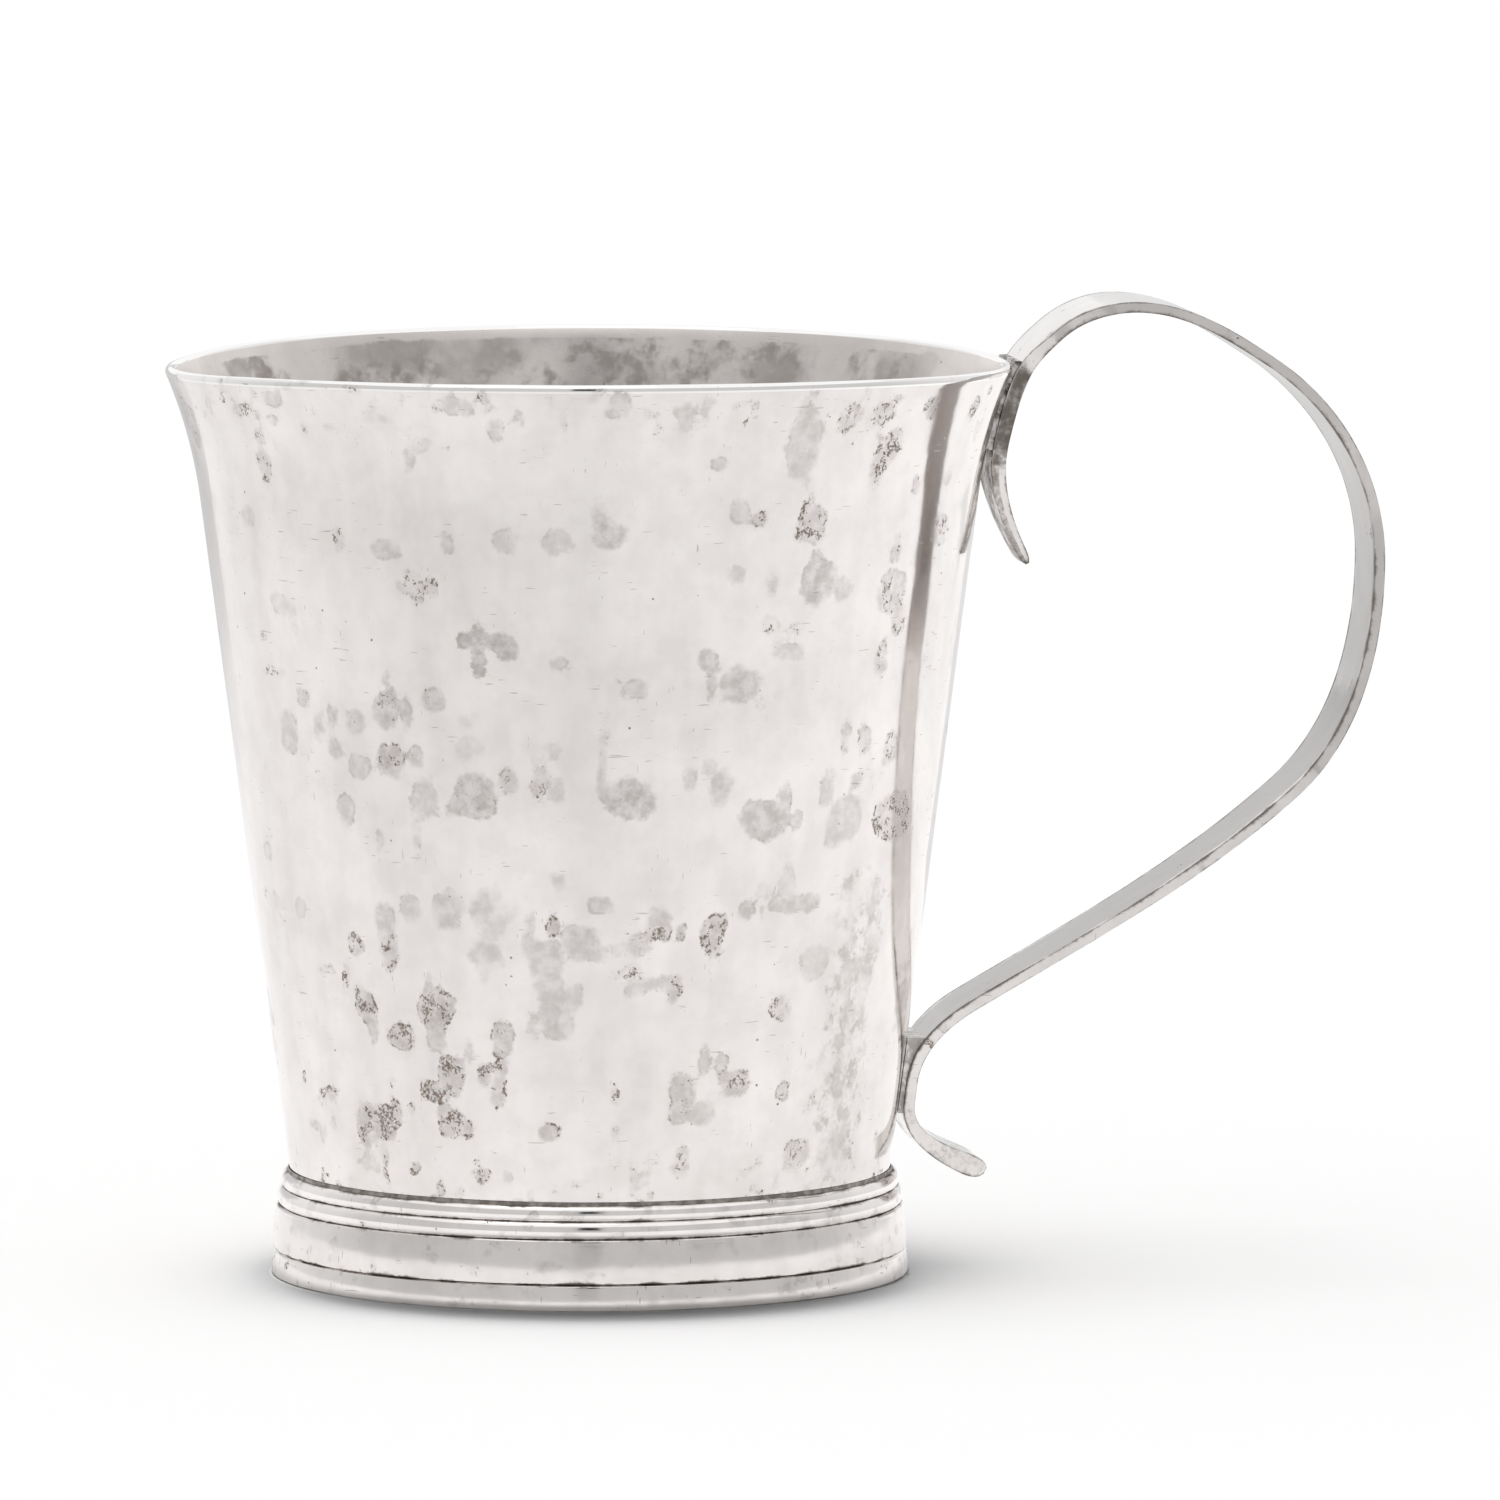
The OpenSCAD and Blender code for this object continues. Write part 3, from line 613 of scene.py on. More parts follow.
@dataclass(frozen=True)
class AgedSilver:
    """Old polished silver: soft grey stains with broken outlines, brown crust, scratches and grime, and where
    a piece asks for it a darker colour that is tarnish and painted shade.
    """

    name: str
    light: Colour = (0.9, 0.862, 0.843)
    dull: Colour = (0.7, 0.66, 0.64)
    stain: Colour = (0.45, 0.413, 0.398)
    outline: Colour = (0.34, 0.305, 0.282)
    crust: Colour = (0.25, 0.196, 0.16)
    grime: Colour = (0.2, 0.175, 0.155)
    # Darker colour for tarnish and painted shade, where a piece carries that mask, or None.
    tarnish_and_shade: Optional[Colour] = None
    rough: float = 0.068
    haze: float = 0.85
    scratches: float = 1.0
    coarse: float = 1.0
    mottled: float = 0.75
    relief: float = 1.0
    blot_size: float = 2.6
    crumb_size: float = 0.6
    mottle_size: float = 1.3
    wave_size: float = 9.0
    ripple_size: float = 2.6
    grain_size: float = 0.3
    pit_spacing: float = 2.3

    def material(self) -> Finish:
        """Makes the finish.

        Returns:
            The finish as a material.
        """
        made, n = new_finish(self.name)
        place = n.place()
        shape, depth, pits, grime = n.wear()
        blot = n.minus(n.noise(place, self.blot_size * self.coarse, 1.2, 0.5), 0.5)
        crumb = n.minus(n.noise(place, self.crumb_size * self.coarse, 3, 0.6), 0.5)
        ragged = n.plus(shape, n.plus(n.times(blot, 0.6), n.times(crumb, 0.34)))
        near = n.window(ragged, 0.4, 0.5)
        stained = self.stained(n, place, ragged, depth, pits)
        ring = self.ringed(n, place, ragged, near, n.times(depth, n.window(crumb, -0.3, 0.1)))
        crust = self.crusted(n, place, pits, near, ring)
        haze = self.hazed(n, place)
        scratch = self.scratched(n, place)
        dirt = n.window(n.plus(grime, n.times(n.plus(blot, crumb), 0.7)), 0.22, 0.8)
        colour = n.blend(haze, self.light, self.dull)
        # Tarnish and painted shade: a darker colour wherever the piece's mask for it is set.
        if self.tarnish_and_shade:
            painted = n.add("Attribute", attribute_name="tarnish_and_shade").outputs["Fac"]
            colour = n.blend(painted, colour, self.tarnish_and_shade)
        layers = ((stained, self.stain), (n.times(ring, 0.9), self.outline),
                  (n.times(scratch, 0.5), self.outline), (crust, self.crust), (dirt, self.grime))
        for amount, tint in layers:
            colour = n.blend(amount, colour, tint)
        matt = n.plus(n.times(stained, 0.16), n.times(n.most(crust, dirt), 0.35))
        rough = n.plus(n.plus(matt, self.rough), n.times(haze, 0.08))
        waves = n.times(n.noise(place, self.wave_size, 2), 0.035 * self.relief)
        relief = n.plus(waves, n.times(n.noise(place, self.ripple_size, 1), 0.009 * self.relief))
        relief = n.minus(n.minus(relief, n.times(crust, 0.02)), n.times(scratch, 0.005))
        n.metal(colour, rough, relief)
        return made

    def stained(self, n: Nodes, place: Socket, ragged: Socket, depth: Socket, pits: Socket) -> Socket:
        """Makes the grey of the stains, with softer edges where they are faint.

        Args:
            n: the finish's tree.
            place: coordinates.
            ragged: the stains' shape with its ragged edge.
            depth: how grey they are.
            pits: how pitted they are.

        Returns:
            The amount of grey.
        """
        grey = n.times(depth, n.minus(1.0, n.times(pits, 0.35)))
        soft = n.plus(n.times(n.minus(1.0, depth), 0.2), 0.06)
        body = n.times(n.window(ragged, n.minus(0.5, soft), n.plus(0.5, soft)), grey)
        mottle = n.window(n.noise(place, self.mottle_size * self.coarse, 3, 0.62), 0.3, 0.7)
        return n.times(body, n.plus(n.times(mottle, self.mottled), 1.2 - self.mottled), clamp=True)

    def ringed(self, n: Nodes, place: Socket, ragged: Socket, near: Socket, strength: Socket) -> Socket:
        """Makes the stains' dark outline, broken here and there.

        Args:
            n: the finish's tree.
            place: coordinates.
            ragged: the stains' shape with its ragged edge.
            near: 1 inside a stain.
            strength: how dark the outline may be.

        Returns:
            The amount of outline.
        """
        ring = n.times(near, n.minus(1.0, n.window(ragged, 0.52, 0.62)))
        short, long = n.noise(place, 1.8, 2), n.noise(place, 7, 1)
        broken = n.times(n.window(short, 0.4, 0.58), n.window(long, 0.4, 0.56))
        return n.times(ring, n.times(broken, strength))

    def hazed(self, n: Nodes, place: Socket) -> Socket:
        """Makes the dull film that polishing leaves: wide clouds, small clouds and upright streaks.

        Args:
            n: the finish's tree.
            place: coordinates.

        Returns:
            The amount of film.
        """
        wide = n.window(n.noise(place, 15, 2), 0.34, 0.66)
        small = n.window(n.noise(place, 3.6, 3, 0.6), 0.36, 0.68)
        streak = n.window(n.noise(n.stretch(place, (1, 1, 0.14)), 3, 3), 0.34, 0.72)
        film = n.plus(n.plus(n.times(wide, 0.32), n.times(small, 0.3)), n.times(streak, 0.22))
        return n.times(film, self.haze, clamp=True)

    def crusted(self, n: Nodes, place: Socket, pits: Socket, near: Socket, ring: Socket) -> Socket:
        """Makes the brown crust: crumbs in pitted stains and on outlines, and lone pits everywhere.

        Args:
            n: the finish's tree.
            place: coordinates.
            pits: how pitted the stains are.
            near: 1 inside a stain.
            ring: the stains' outline.

        Returns:
            The amount of crust.
        """
        cluster = n.most(n.window(n.noise(place, 1.4, 3, 0.6), 0.44, 0.6), n.times(ring, 2.0))
        full = n.times(n.times(pits, near), cluster, clamp=True)
        dense = n.least(n.times(n.plus(full, n.times(ring, 0.3)), 2.1), 1.0)
        low = n.minus(0.74, n.times(dense, 0.3))
        crumbs = n.window(n.noise(place, self.grain_size, 4, 0.7), low, n.plus(low, 0.15))
        far, luck = n.cells(n.wobble(place, 2600, 0.25), self.pit_spacing)
        size = n.times(n.times(luck, luck), 0.07)
        lone = n.minus(1.0, n.window(far, n.times(size, 0.5), n.plus(size, 0.02)))
        lone = n.times(lone, n.window(luck, 0.35, 0.75))
        return n.most(crumbs, n.times(lone, 0.9))

    def scratched(self, n: Nodes, place: Socket) -> Socket:
        """Makes short fine scratches that run round, up and aslant.

        Args:
            n: the finish's tree.
            place: coordinates.

        Returns:
            The amount of scratch.
        """
        lines: Source = 0.0
        ways = (
            ((0.07, 0.07, 1.0), (0, 0, 0)), ((1.0, 1.0, 0.1), (0, 0, 0)),
            ((0.1, 0.1, 1.0), (0, 34, 0)), ((0.1, 0.1, 1.0), (20, -52, 0)),
        )
        for number, (scale, turn) in enumerate(ways):
            run = n.noise(n.stretch(place, scale, turn), 0.22, 1, 0.4)
            thin = n.window(run, 0.72, 0.77)
            rare = 0.61 if number == 0 else 0.55
            apart = n.stretch(place, (1, 1, 1), (number * 40, 0, 0))
            part = n.window(n.noise(apart, 6, 2), rare, rare + 0.08)
            lines = n.most(lines, n.times(thin, part))
        return n.times(lines, self.scratches)


@dataclass(frozen=True)
class OldSolder:
    """Tarnished silver solder, dull grey with dark holes."""

    name: str
    light: Colour
    dark: Colour
    cloud_size: float = 1.1
    grain_size: float = 0.6

    def material(self) -> Finish:
        """Makes the finish.

        Returns:
            The finish as a material.
        """
        made, n = new_finish(self.name)
        place = n.place()
        cloud = n.window(n.noise(place, self.cloud_size, 4, 0.6), 0.38, 0.62)
        colour = n.blend(cloud, self.dark, self.light)
        rough = n.minus(0.55, n.times(cloud, 0.2))
        n.metal(colour, rough, n.times(n.noise(place, self.grain_size, 3), 0.12))
        return made


def settle(piece: bpy.types.Object, node: str, slot: Slot, *finishes: Finish) -> None:
    """Dresses a finished piece and puts it in the place of its frame node.

    Args:
        piece: the finished piece.
        node: the frame node that it stands for.
        slot: not used.
        finishes: its finish, and then any finish that some of its faces have instead.
    """
    piece.data.materials.clear()
    for finish in finishes:
        piece.data.materials.append(finish)
    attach(piece, "root")
    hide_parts(node)
    LOG.info("%s: %d faces for %s", piece.name, len(piece.data.polygons), node)


@dataclass
class CupWall:
    """The raised wall: a straight taper, an outward flare and a lip hammered thick; in millimetres."""

    height: float = 95.0
    rim_d: float = 87.5
    waist_d: float = 62.3
    wall_t: float = 0.8
    lip_t: float = 1.3
    lip_lean: float = 23.0
    flare_r: float = 48.0
    foot_h: float = 10.6
    lower_edge: float = 4.2
    row: float = 0.6
    inner_row: float = 2.3
    flare_rows: int = 24
    inner_flare_rows: int = 12
    lip_rows: int = 12
    steps: int = 432
    degrees_per_mm: float = 1.6
    hammer_face: float = 17.0
    hammer_depth: float = 0.12
    sags: tuple[tuple[float, ...], ...] = ((90, -0.7, 40), (-90, -0.8, 40), (0, 0.2, 30), (180, 0.2, 30))

    def __post_init__(self) -> None:
        """Works out the flare's centre and the wall's taper."""
        lean = math.radians(self.lip_lean)
        half = self.lip_t / 2
        self.lip = (self.rim_d / 2 - half, self.height - half)
        reach = half + self.flare_r
        self.flare = (self.lip[0] + reach * math.cos(lean), self.lip[1] - reach * math.sin(lean))
        across, up = self.flare[0] - self.waist_d / 2, self.flare[1] - self.foot_h
        self.taper = math.atan2(across, up) - math.asin(self.flare_r / math.hypot(across, up))
        self.flare_z = self.flare[1] + self.flare_r * math.sin(self.taper)

    def lean(self, z: float) -> float:
        """Returns the wall's lean from upright at a height, in radians."""
        return self.taper if z < self.flare_z else math.asin((z - self.flare[1]) / self.flare_r)

    def radius(self, z: float) -> float:
        """Measures the wall's outside.

        Args:
            z: height above the table.

        Returns:
            The outside radius there.
        """
        if z < self.flare_z:
            return self.waist_d / 2 + math.tan(self.taper) * (z - self.foot_h)
        return self.flare[0] - self.flare_r * math.cos(self.lean(z))

    def bowl(self, z: float) -> float:
        """Returns the straight wall's inside radius at a height."""
        return self.radius(z) - self.wall_t / math.cos(self.taper)

    def middle(self, z: np.ndarray) -> np.ndarray:
        """Returns a radius inside the metal at each of many heights, to tell its two sides apart."""
        return np.array([self.radius(min(v, self.lip[1])) - 0.35 for v in z])

    def flared(self, share: float, inner: bool) -> Point:
        """Finds a point of the flare.

        Args:
            share: how far up the flare it lies, from 0 to 1.
            inner: whether it lies inside the cup.

        Returns:
            Its radius and height.
        """
        lean = self.taper + (math.radians(self.lip_lean) - self.taper) * share
        inset = self.wall_t + (self.lip_t - self.wall_t) * share ** 2 if inner else 0.0
        away = self.flare_r + inset
        return self.flare[0] - away * math.cos(lean), self.flare[1] + away * math.sin(lean)

    def outline(self) -> list[Point]:
        """Draws the wall's section.

        Returns:
            Its (radius, height) corners, up the outside, over the lip and down the inside.
        """
        tall = self.flare_z - self.lower_edge
        rows, inner_rows = round(tall / self.row), round(tall / self.inner_row)
        heights = [self.lower_edge + tall * i / rows for i in range(rows)]
        outside = [(self.radius(z), z) for z in heights]
        outside += [self.flared(i / self.flare_rows, False) for i in range(self.flare_rows + 1)]
        half, lip_lean = self.lip_t / 2, math.radians(self.lip_lean)
        turns = [math.pi * i / self.lip_rows - lip_lean for i in range(1, self.lip_rows)]
        lip = [(self.lip[0] + half * math.cos(a), self.lip[1] + half * math.sin(a)) for a in turns]
        inside = [self.flared(1 - i / self.inner_flare_rows, True) for i in range(self.inner_flare_rows + 1)]
        falls = [self.flare_z - tall * i / inner_rows for i in range(1, inner_rows + 1)]
        return outside + lip + inside + [(self.bowl(z), z) for z in falls]

    def pull(self, piece: bpy.types.Object, angle: float, rise: float, reach: float) -> None:
        """Pulls one side of the lip up or down, the metal around it following.

        Args:
            piece: the turned wall.
            angle: direction of that side, in degrees from the front.
            rise: how far it goes up, in millimetres.
            reach: how far around it the metal follows, in millimetres.
        """
        at = Bench.places(piece)
        apart = (np.degrees(np.arctan2(at[:, 1], at[:, 0])) - FRONT - angle + 180) % 360 - 180
        Bench.edit(piece, (np.abs(apart) < 6) & (at[:, 2] > self.height - 1.5))
        bpy.ops.transform.translate(
            value=(0, 0, rise * MM), use_proportional_edit=True,
            proportional_edit_falloff="SMOOTH", proportional_size=reach * MM,
        )
        Bench.clear()

    def wear(self, piece: bpy.types.Object) -> None:
        """Paints the wall's stains: by place on the front, at random elsewhere and inside.

        Args:
            piece: the turned wall.
        """
        at = Bench.places(piece)
        round_r, z = np.hypot(at[:, 0], at[:, 1]), at[:, 2]
        angle = (np.degrees(np.arctan2(at[:, 1], at[:, 0])) - FRONT + 180) % 360 - 180
        outside = (round_r > self.middle(z)) | (z > self.lip[1])
        around, unit = (-180, 180), self.degrees_per_mm
        wear = Wear(angle, z, unit, 360.0)
        wear.stain((Stain(*row) for row in FRONT_STAINS), outside)
        wear.stain(scatter(11, 70, (72, 288), (13, 92), (0.6, 2.6), unit), outside)
        wear.stain(scatter(13, 70, around, (12, 94), (0.25, 1.2), unit, (0.06, 0.26), (-0.6, 0.8)), outside)
        wear.stain(scatter(12, 60, around, (8, 94), (0.8, 3.4), unit), ~outside)
        wear.film(0.46, 0.8, ~outside)
        below_lip = scatter(14, 44, (-78, 78), (90.5, 94), (0.1, 0.36), unit, (0.15, 0.35), (0.3, 1.0))
        above_foot = scatter(15, 30, (-80, 80), (11, 13), (0.12, 0.4), unit, (0.2, 0.5), (0.5, 1.0))
        wear.stain(below_lip, outside)
        wear.stain(above_foot, outside)
        aside, beyond = (angle - 53) / 13, np.maximum(np.abs(z - 27) - 14, 0) / 5
        smear = np.exp(-aside ** 2) * np.exp(-beyond ** 2)
        wear.film(0.5 * smear, 0.45, outside)
        wear.soil(0.85 * np.exp(-np.maximum(z - self.foot_h, 0) / 0.28) * outside)
        wear.paint(piece)

    def build(self, silver: Finish, dull: Finish, bright: Finish) -> None:
        """Raises, planishes and dresses the wall.

        Args:
            silver: finish of its outside.
            dull: finish of its inside.
            bright: finish of its lip.
        """
        piece = Bench.turn("raised_wall", self.outline(), self.steps)
        self.wear(piece)
        centres = np.array([face.center for face in piece.data.polygons]) / MM
        round_r, z = np.hypot(centres[:, 0], centres[:, 1]), centres[:, 2]
        finish = (round_r < self.middle(z)).astype(np.int32)
        finish[np.hypot(round_r - self.lip[0], z - self.lip[1]) < self.lip_t / 2 + 0.01] = 2
        Bench.planish(piece, self.hammer_face, self.hammer_depth)
        for angle, rise, reach in self.sags:
            self.pull(piece, angle, rise, reach)
        Bench.smooth(piece, 60)
        settle(piece, "body_wall", Slot.SILVER, silver, dull, bright)
        piece.data.polygons.foreach_set("material_index", finish)


@dataclass
class CupFloor:
    """The floor let into the wall, and the solder fillet around it; in millimetres."""

    wall: CupWall
    under: float = 5.2
    thick: float = 0.9
    gap: float = 0.1
    fillet: float = 0.9
    rings: int = 30
    fillet_rows: int = 8
    steps: int = 240

    def __post_init__(self) -> None:
        """Works out the height of the floor's upper side."""
        self.top = self.under + self.thick

    def disc(self, silver: Finish) -> None:
        """Turns and dresses the disc.

        Args:
            silver: its finish.
        """
        rim_low, rim_high = self.wall.bowl(self.under) - self.gap, self.wall.bowl(self.top) - self.gap
        shares = [1 - i / self.rings for i in range(self.rings + 1)]
        upper = [(rim_high * s, self.top) for s in shares]
        lower = [(rim_low * s, self.under) for s in reversed(shares)]
        piece = Bench.turn("let_in_floor", upper + lower, self.steps)
        at = Bench.places(piece)
        wear = Wear(at[:, 0], at[:, 1])
        wear.stain(scatter(21, 60, (-30, 30), (-30, 30), (0.8, 3.2), 1.0))
        wear.soil(np.exp(-(rim_low - np.hypot(at[:, 0], at[:, 1])) / 0.8) * 0.8)
        wear.paint(piece)
        Bench.planish(piece, 9, 0.1)
        Bench.smooth(piece, 40)
        settle(piece, "floor_disc", Slot.SILVER, silver)

    def bead(self, solder: Finish) -> None:
        """Turns and dresses the hollow fillet.

        Args:
            solder: its finish.
        """
        foot_r, top, size = self.wall.bowl(self.top), self.top, self.fillet
        shares = [i / self.fillet_rows for i in range(self.fillet_rows + 1)]
        face = [(foot_r - size * s, top + size * (1 - math.sqrt(1 - (1 - s) ** 2))) for s in shares]
        corner = [(foot_r, top), (self.wall.bowl(top + size), top + size)]
        piece = Bench.turn("floor_bead", corner + face, self.steps)
        Bench.smooth(piece, 50)
        settle(piece, "floor_solder", Slot.SOLDER, solder)

    def build(self, silver: Finish, solder: Finish) -> None:
        """Makes the disc and its fillet."""
        self.disc(silver)
        self.bead(solder)


@dataclass
class ReededFoot:
    """The foot: a base wire, a plain band, two reeds, and the solder that holds them; in millimetres."""

    wall: CupWall
    film: float = 0.2
    upper_h: float = 1.55
    upper_r: Point = (31.85, 31.5)
    upper_swell: float = 0.36
    lower_h: float = 1.8
    lower_r: Point = (32.2, 31.85)
    lower_swell: float = 0.42
    band_h: float = 4.5
    band_r: Point = (32.85, 32.5)
    band_swell: float = 0.13
    band_round: float = 0.35
    base_h: float = 2.75
    base_r: Point = (33.0, 32.82)
    base_swell: float = 0.06
    base_round: float = 0.55
    base_ease: float = 0.25
    hairline: float = 0.02
    sleeve_bulge: float = 0.1
    sleeve_rise: float = 0.35
    grime: float = 0.85
    grime_waves: tuple[int, ...] = (3, 7, 12, 19, 31, 47)
    degrees_per_mm: float = 1.75
    stain_turn: float = 2.6
    face_rows: int = 18
    shoulder_rows: int = 8
    ease_rows: int = 6
    first_seed: int = 31
    steps: int = 480

    def __post_init__(self) -> None:
        """Stacks the rings from the table up."""
        self.band_z = self.base_h
        self.lower_z = self.band_z + self.band_h
        self.upper_z = self.lower_z + self.lower_h
        self.top_z = self.upper_z + self.upper_h

    def bore(self, z: float) -> float:
        """Returns the rings' inside radius at a height."""
        return self.wall.radius(z) + self.film

    @staticmethod
    def face(low: Point, high: Point, swell: float, count: int) -> list[Point]:
        """Draws a round face between two corners of a ring.

        Args:
            low: (radius, height) of the lower corner.
            high: (radius, height) of the upper corner.
            swell: how far the face stands out of the line between them.
            count: number of steps over the face.

        Returns:
            The face's points, from the lower corner to the upper.
        """
        across, up = high[0] - low[0], high[1] - low[1]
        chord = math.hypot(across, up)
        out = (up / chord, -across / chord)
        round_r = (chord * chord / 4 + swell * swell) / (2 * swell)
        reach, lean = math.asin(min(1.0, chord / 2 / round_r)), math.atan2(out[1], out[0])
        middle = [(a + b) / 2 + (swell - round_r) * k for a, b, k in zip(low, high, out)]
        turns = [lean + reach * (2 * i / count - 1) for i in range(count + 1)]
        return [(middle[0] + round_r * math.cos(a), middle[1] + round_r * math.sin(a)) for a in turns]

    def ring(self, z: float, h: float, radii: Point, swell: float, shoulder: float = 0.0) -> list[Point]:
        """Draws the section of a ring with a round face.

        Args:
            z: height of its underside.
            h: its height.
            radii: radius of its lower and of its upper corner.
            swell: how far its face stands out.
            shoulder: radius of its rounded upper corner.

        Returns:
            The section's corners.
        """
        top = z + h
        face = self.face((radii[0], z), (radii[1], top - shoulder), swell, self.face_rows)
        if shoulder:
            turns = [math.pi / 2 * i / self.shoulder_rows for i in range(1, self.shoulder_rows + 1)]
            middle = (radii[1] - shoulder, top - shoulder)
            face += [(middle[0] + shoulder * math.cos(a), middle[1] + shoulder * math.sin(a)) for a in turns]
        return [(self.bore(z), z)] + face + [(self.bore(top), top)]

    def base(self) -> list[Point]:
        """Draws the section of the base wire, whose toe is eased.

        Returns:
            The section's corners.
        """
        low_r, ease = self.base_r[0], self.base_ease
        turns = [math.pi / 2 * (i / self.ease_rows - 1) for i in range(self.ease_rows)]
        toe = [(low_r - ease + ease * math.cos(a), ease + ease * math.sin(a)) for a in turns]
        upper = self.ring(ease, self.base_h - ease, self.base_r, self.base_swell, self.base_round)
        return [(self.bore(0), 0.0)] + toe + upper[1:]

    def sleeve(self) -> list[Point]:
        """Draws the section of the solder between the wall and the rings.

        Returns:
            The section's corners.
        """
        wall, low, top = self.wall, self.wall.lower_edge, self.top_z
        return [
            (wall.radius(low) + self.hairline, low),
            (self.bore(low) - self.hairline, low),
            (self.bore(top) - self.hairline, top),
            (wall.radius(top) + self.sleeve_bulge, top + self.sleeve_bulge),
            (wall.radius(top + self.sleeve_rise) + self.hairline, top + self.sleeve_rise),
        ]

    def wear(self, piece: bpy.types.Object, grooves: Sequence[float], seed: int, spread: float) -> None:
        """Paints a ring: stains at random, and grime along its grooves.

        Args:
            piece: the turned ring.
            grooves: heights of the grooves beside it.
            seed: start of the random draws.
            spread: how far the grime spreads out of the grooves, in millimetres.
        """
        at = Bench.places(piece)
        angle, z = np.degrees(np.arctan2(at[:, 1], at[:, 0])), at[:, 2]
        wear = Wear(angle, z, self.degrees_per_mm, 360.0)
        around, heights = (-180, 180), (z.min(), z.max())
        wear.stain(scatter(seed, 60, around, heights, (0.1, 0.4), self.stain_turn, (0.2, 0.5), (-1, 0.6)))
        for height in grooves:
            draw = random.Random(seed * 7 + round(height * 10))
            waves = sum(np.sin(np.radians(angle) * k + draw.uniform(0, math.tau)) for k in self.grime_waves)
            lies = np.clip(0.7 + 0.16 * waves, 0.35, 1.0)
            wear.soil(self.grime * lies * np.exp(-np.abs(z - height) / (0.05 + spread * lies)))
        wear.paint(piece)

    def build(self, silver: Finish, satin: Finish, solder: Finish) -> None:
        """Turns the rings and the solder sleeve.

        Args:
            silver: finish of the reeds.
            satin: finish of the band and the base wire.
            solder: finish of the sleeve.
        """
        band = self.ring(self.band_z, self.band_h, self.band_r, self.band_swell, self.band_round)
        lower = self.ring(self.lower_z, self.lower_h, self.lower_r, self.lower_swell)
        upper = self.ring(self.upper_z, self.upper_h, self.upper_r, self.upper_swell)
        rings = (
            ("resting_wire", "base_wire", self.base(), (self.base_h,), 0.06, 0.03, satin),
            ("plain_band", "foot_band", band, (self.band_z, self.lower_z), 0.07, 0.2, satin),
            ("low_reed", "lower_reed", lower, (self.lower_z, self.upper_z), 0.04, 0.16, silver),
            ("high_reed", "upper_reed", upper, (self.upper_z, self.top_z), 0.04, 0.16, silver),
        )
        for seed, (name, node, section, grooves, depth, spread, finish) in enumerate(rings, self.first_seed):
            piece = Bench.turn(name, section, self.steps)
            self.wear(piece, grooves, seed, spread)
            Bench.planish(piece, 9, depth)
            Bench.smooth(piece, 40)
            settle(piece, node, Slot.SILVER, finish)
        piece = Bench.turn("foot_joint", self.sleeve(), self.steps)
        Bench.smooth(piece, 50)
        settle(piece, "foot_solder", Slot.SOLDER, solder)


@dataclass
class Waypoint:
    """One place on the strap's middle line, with its heading in degrees and the strap's size there."""

    x: float
    z: float
    heading: float
    width: float
    thick: float


@dataclass(frozen=True)
class StrapMarks:
    """Lengths along the strap at the upper joint's ends, the bow, the elbow, the lower tail and the end."""

    upper_low: float
    upper_high: float
    bow: float
    elbow: float
    lower: float
    end: float


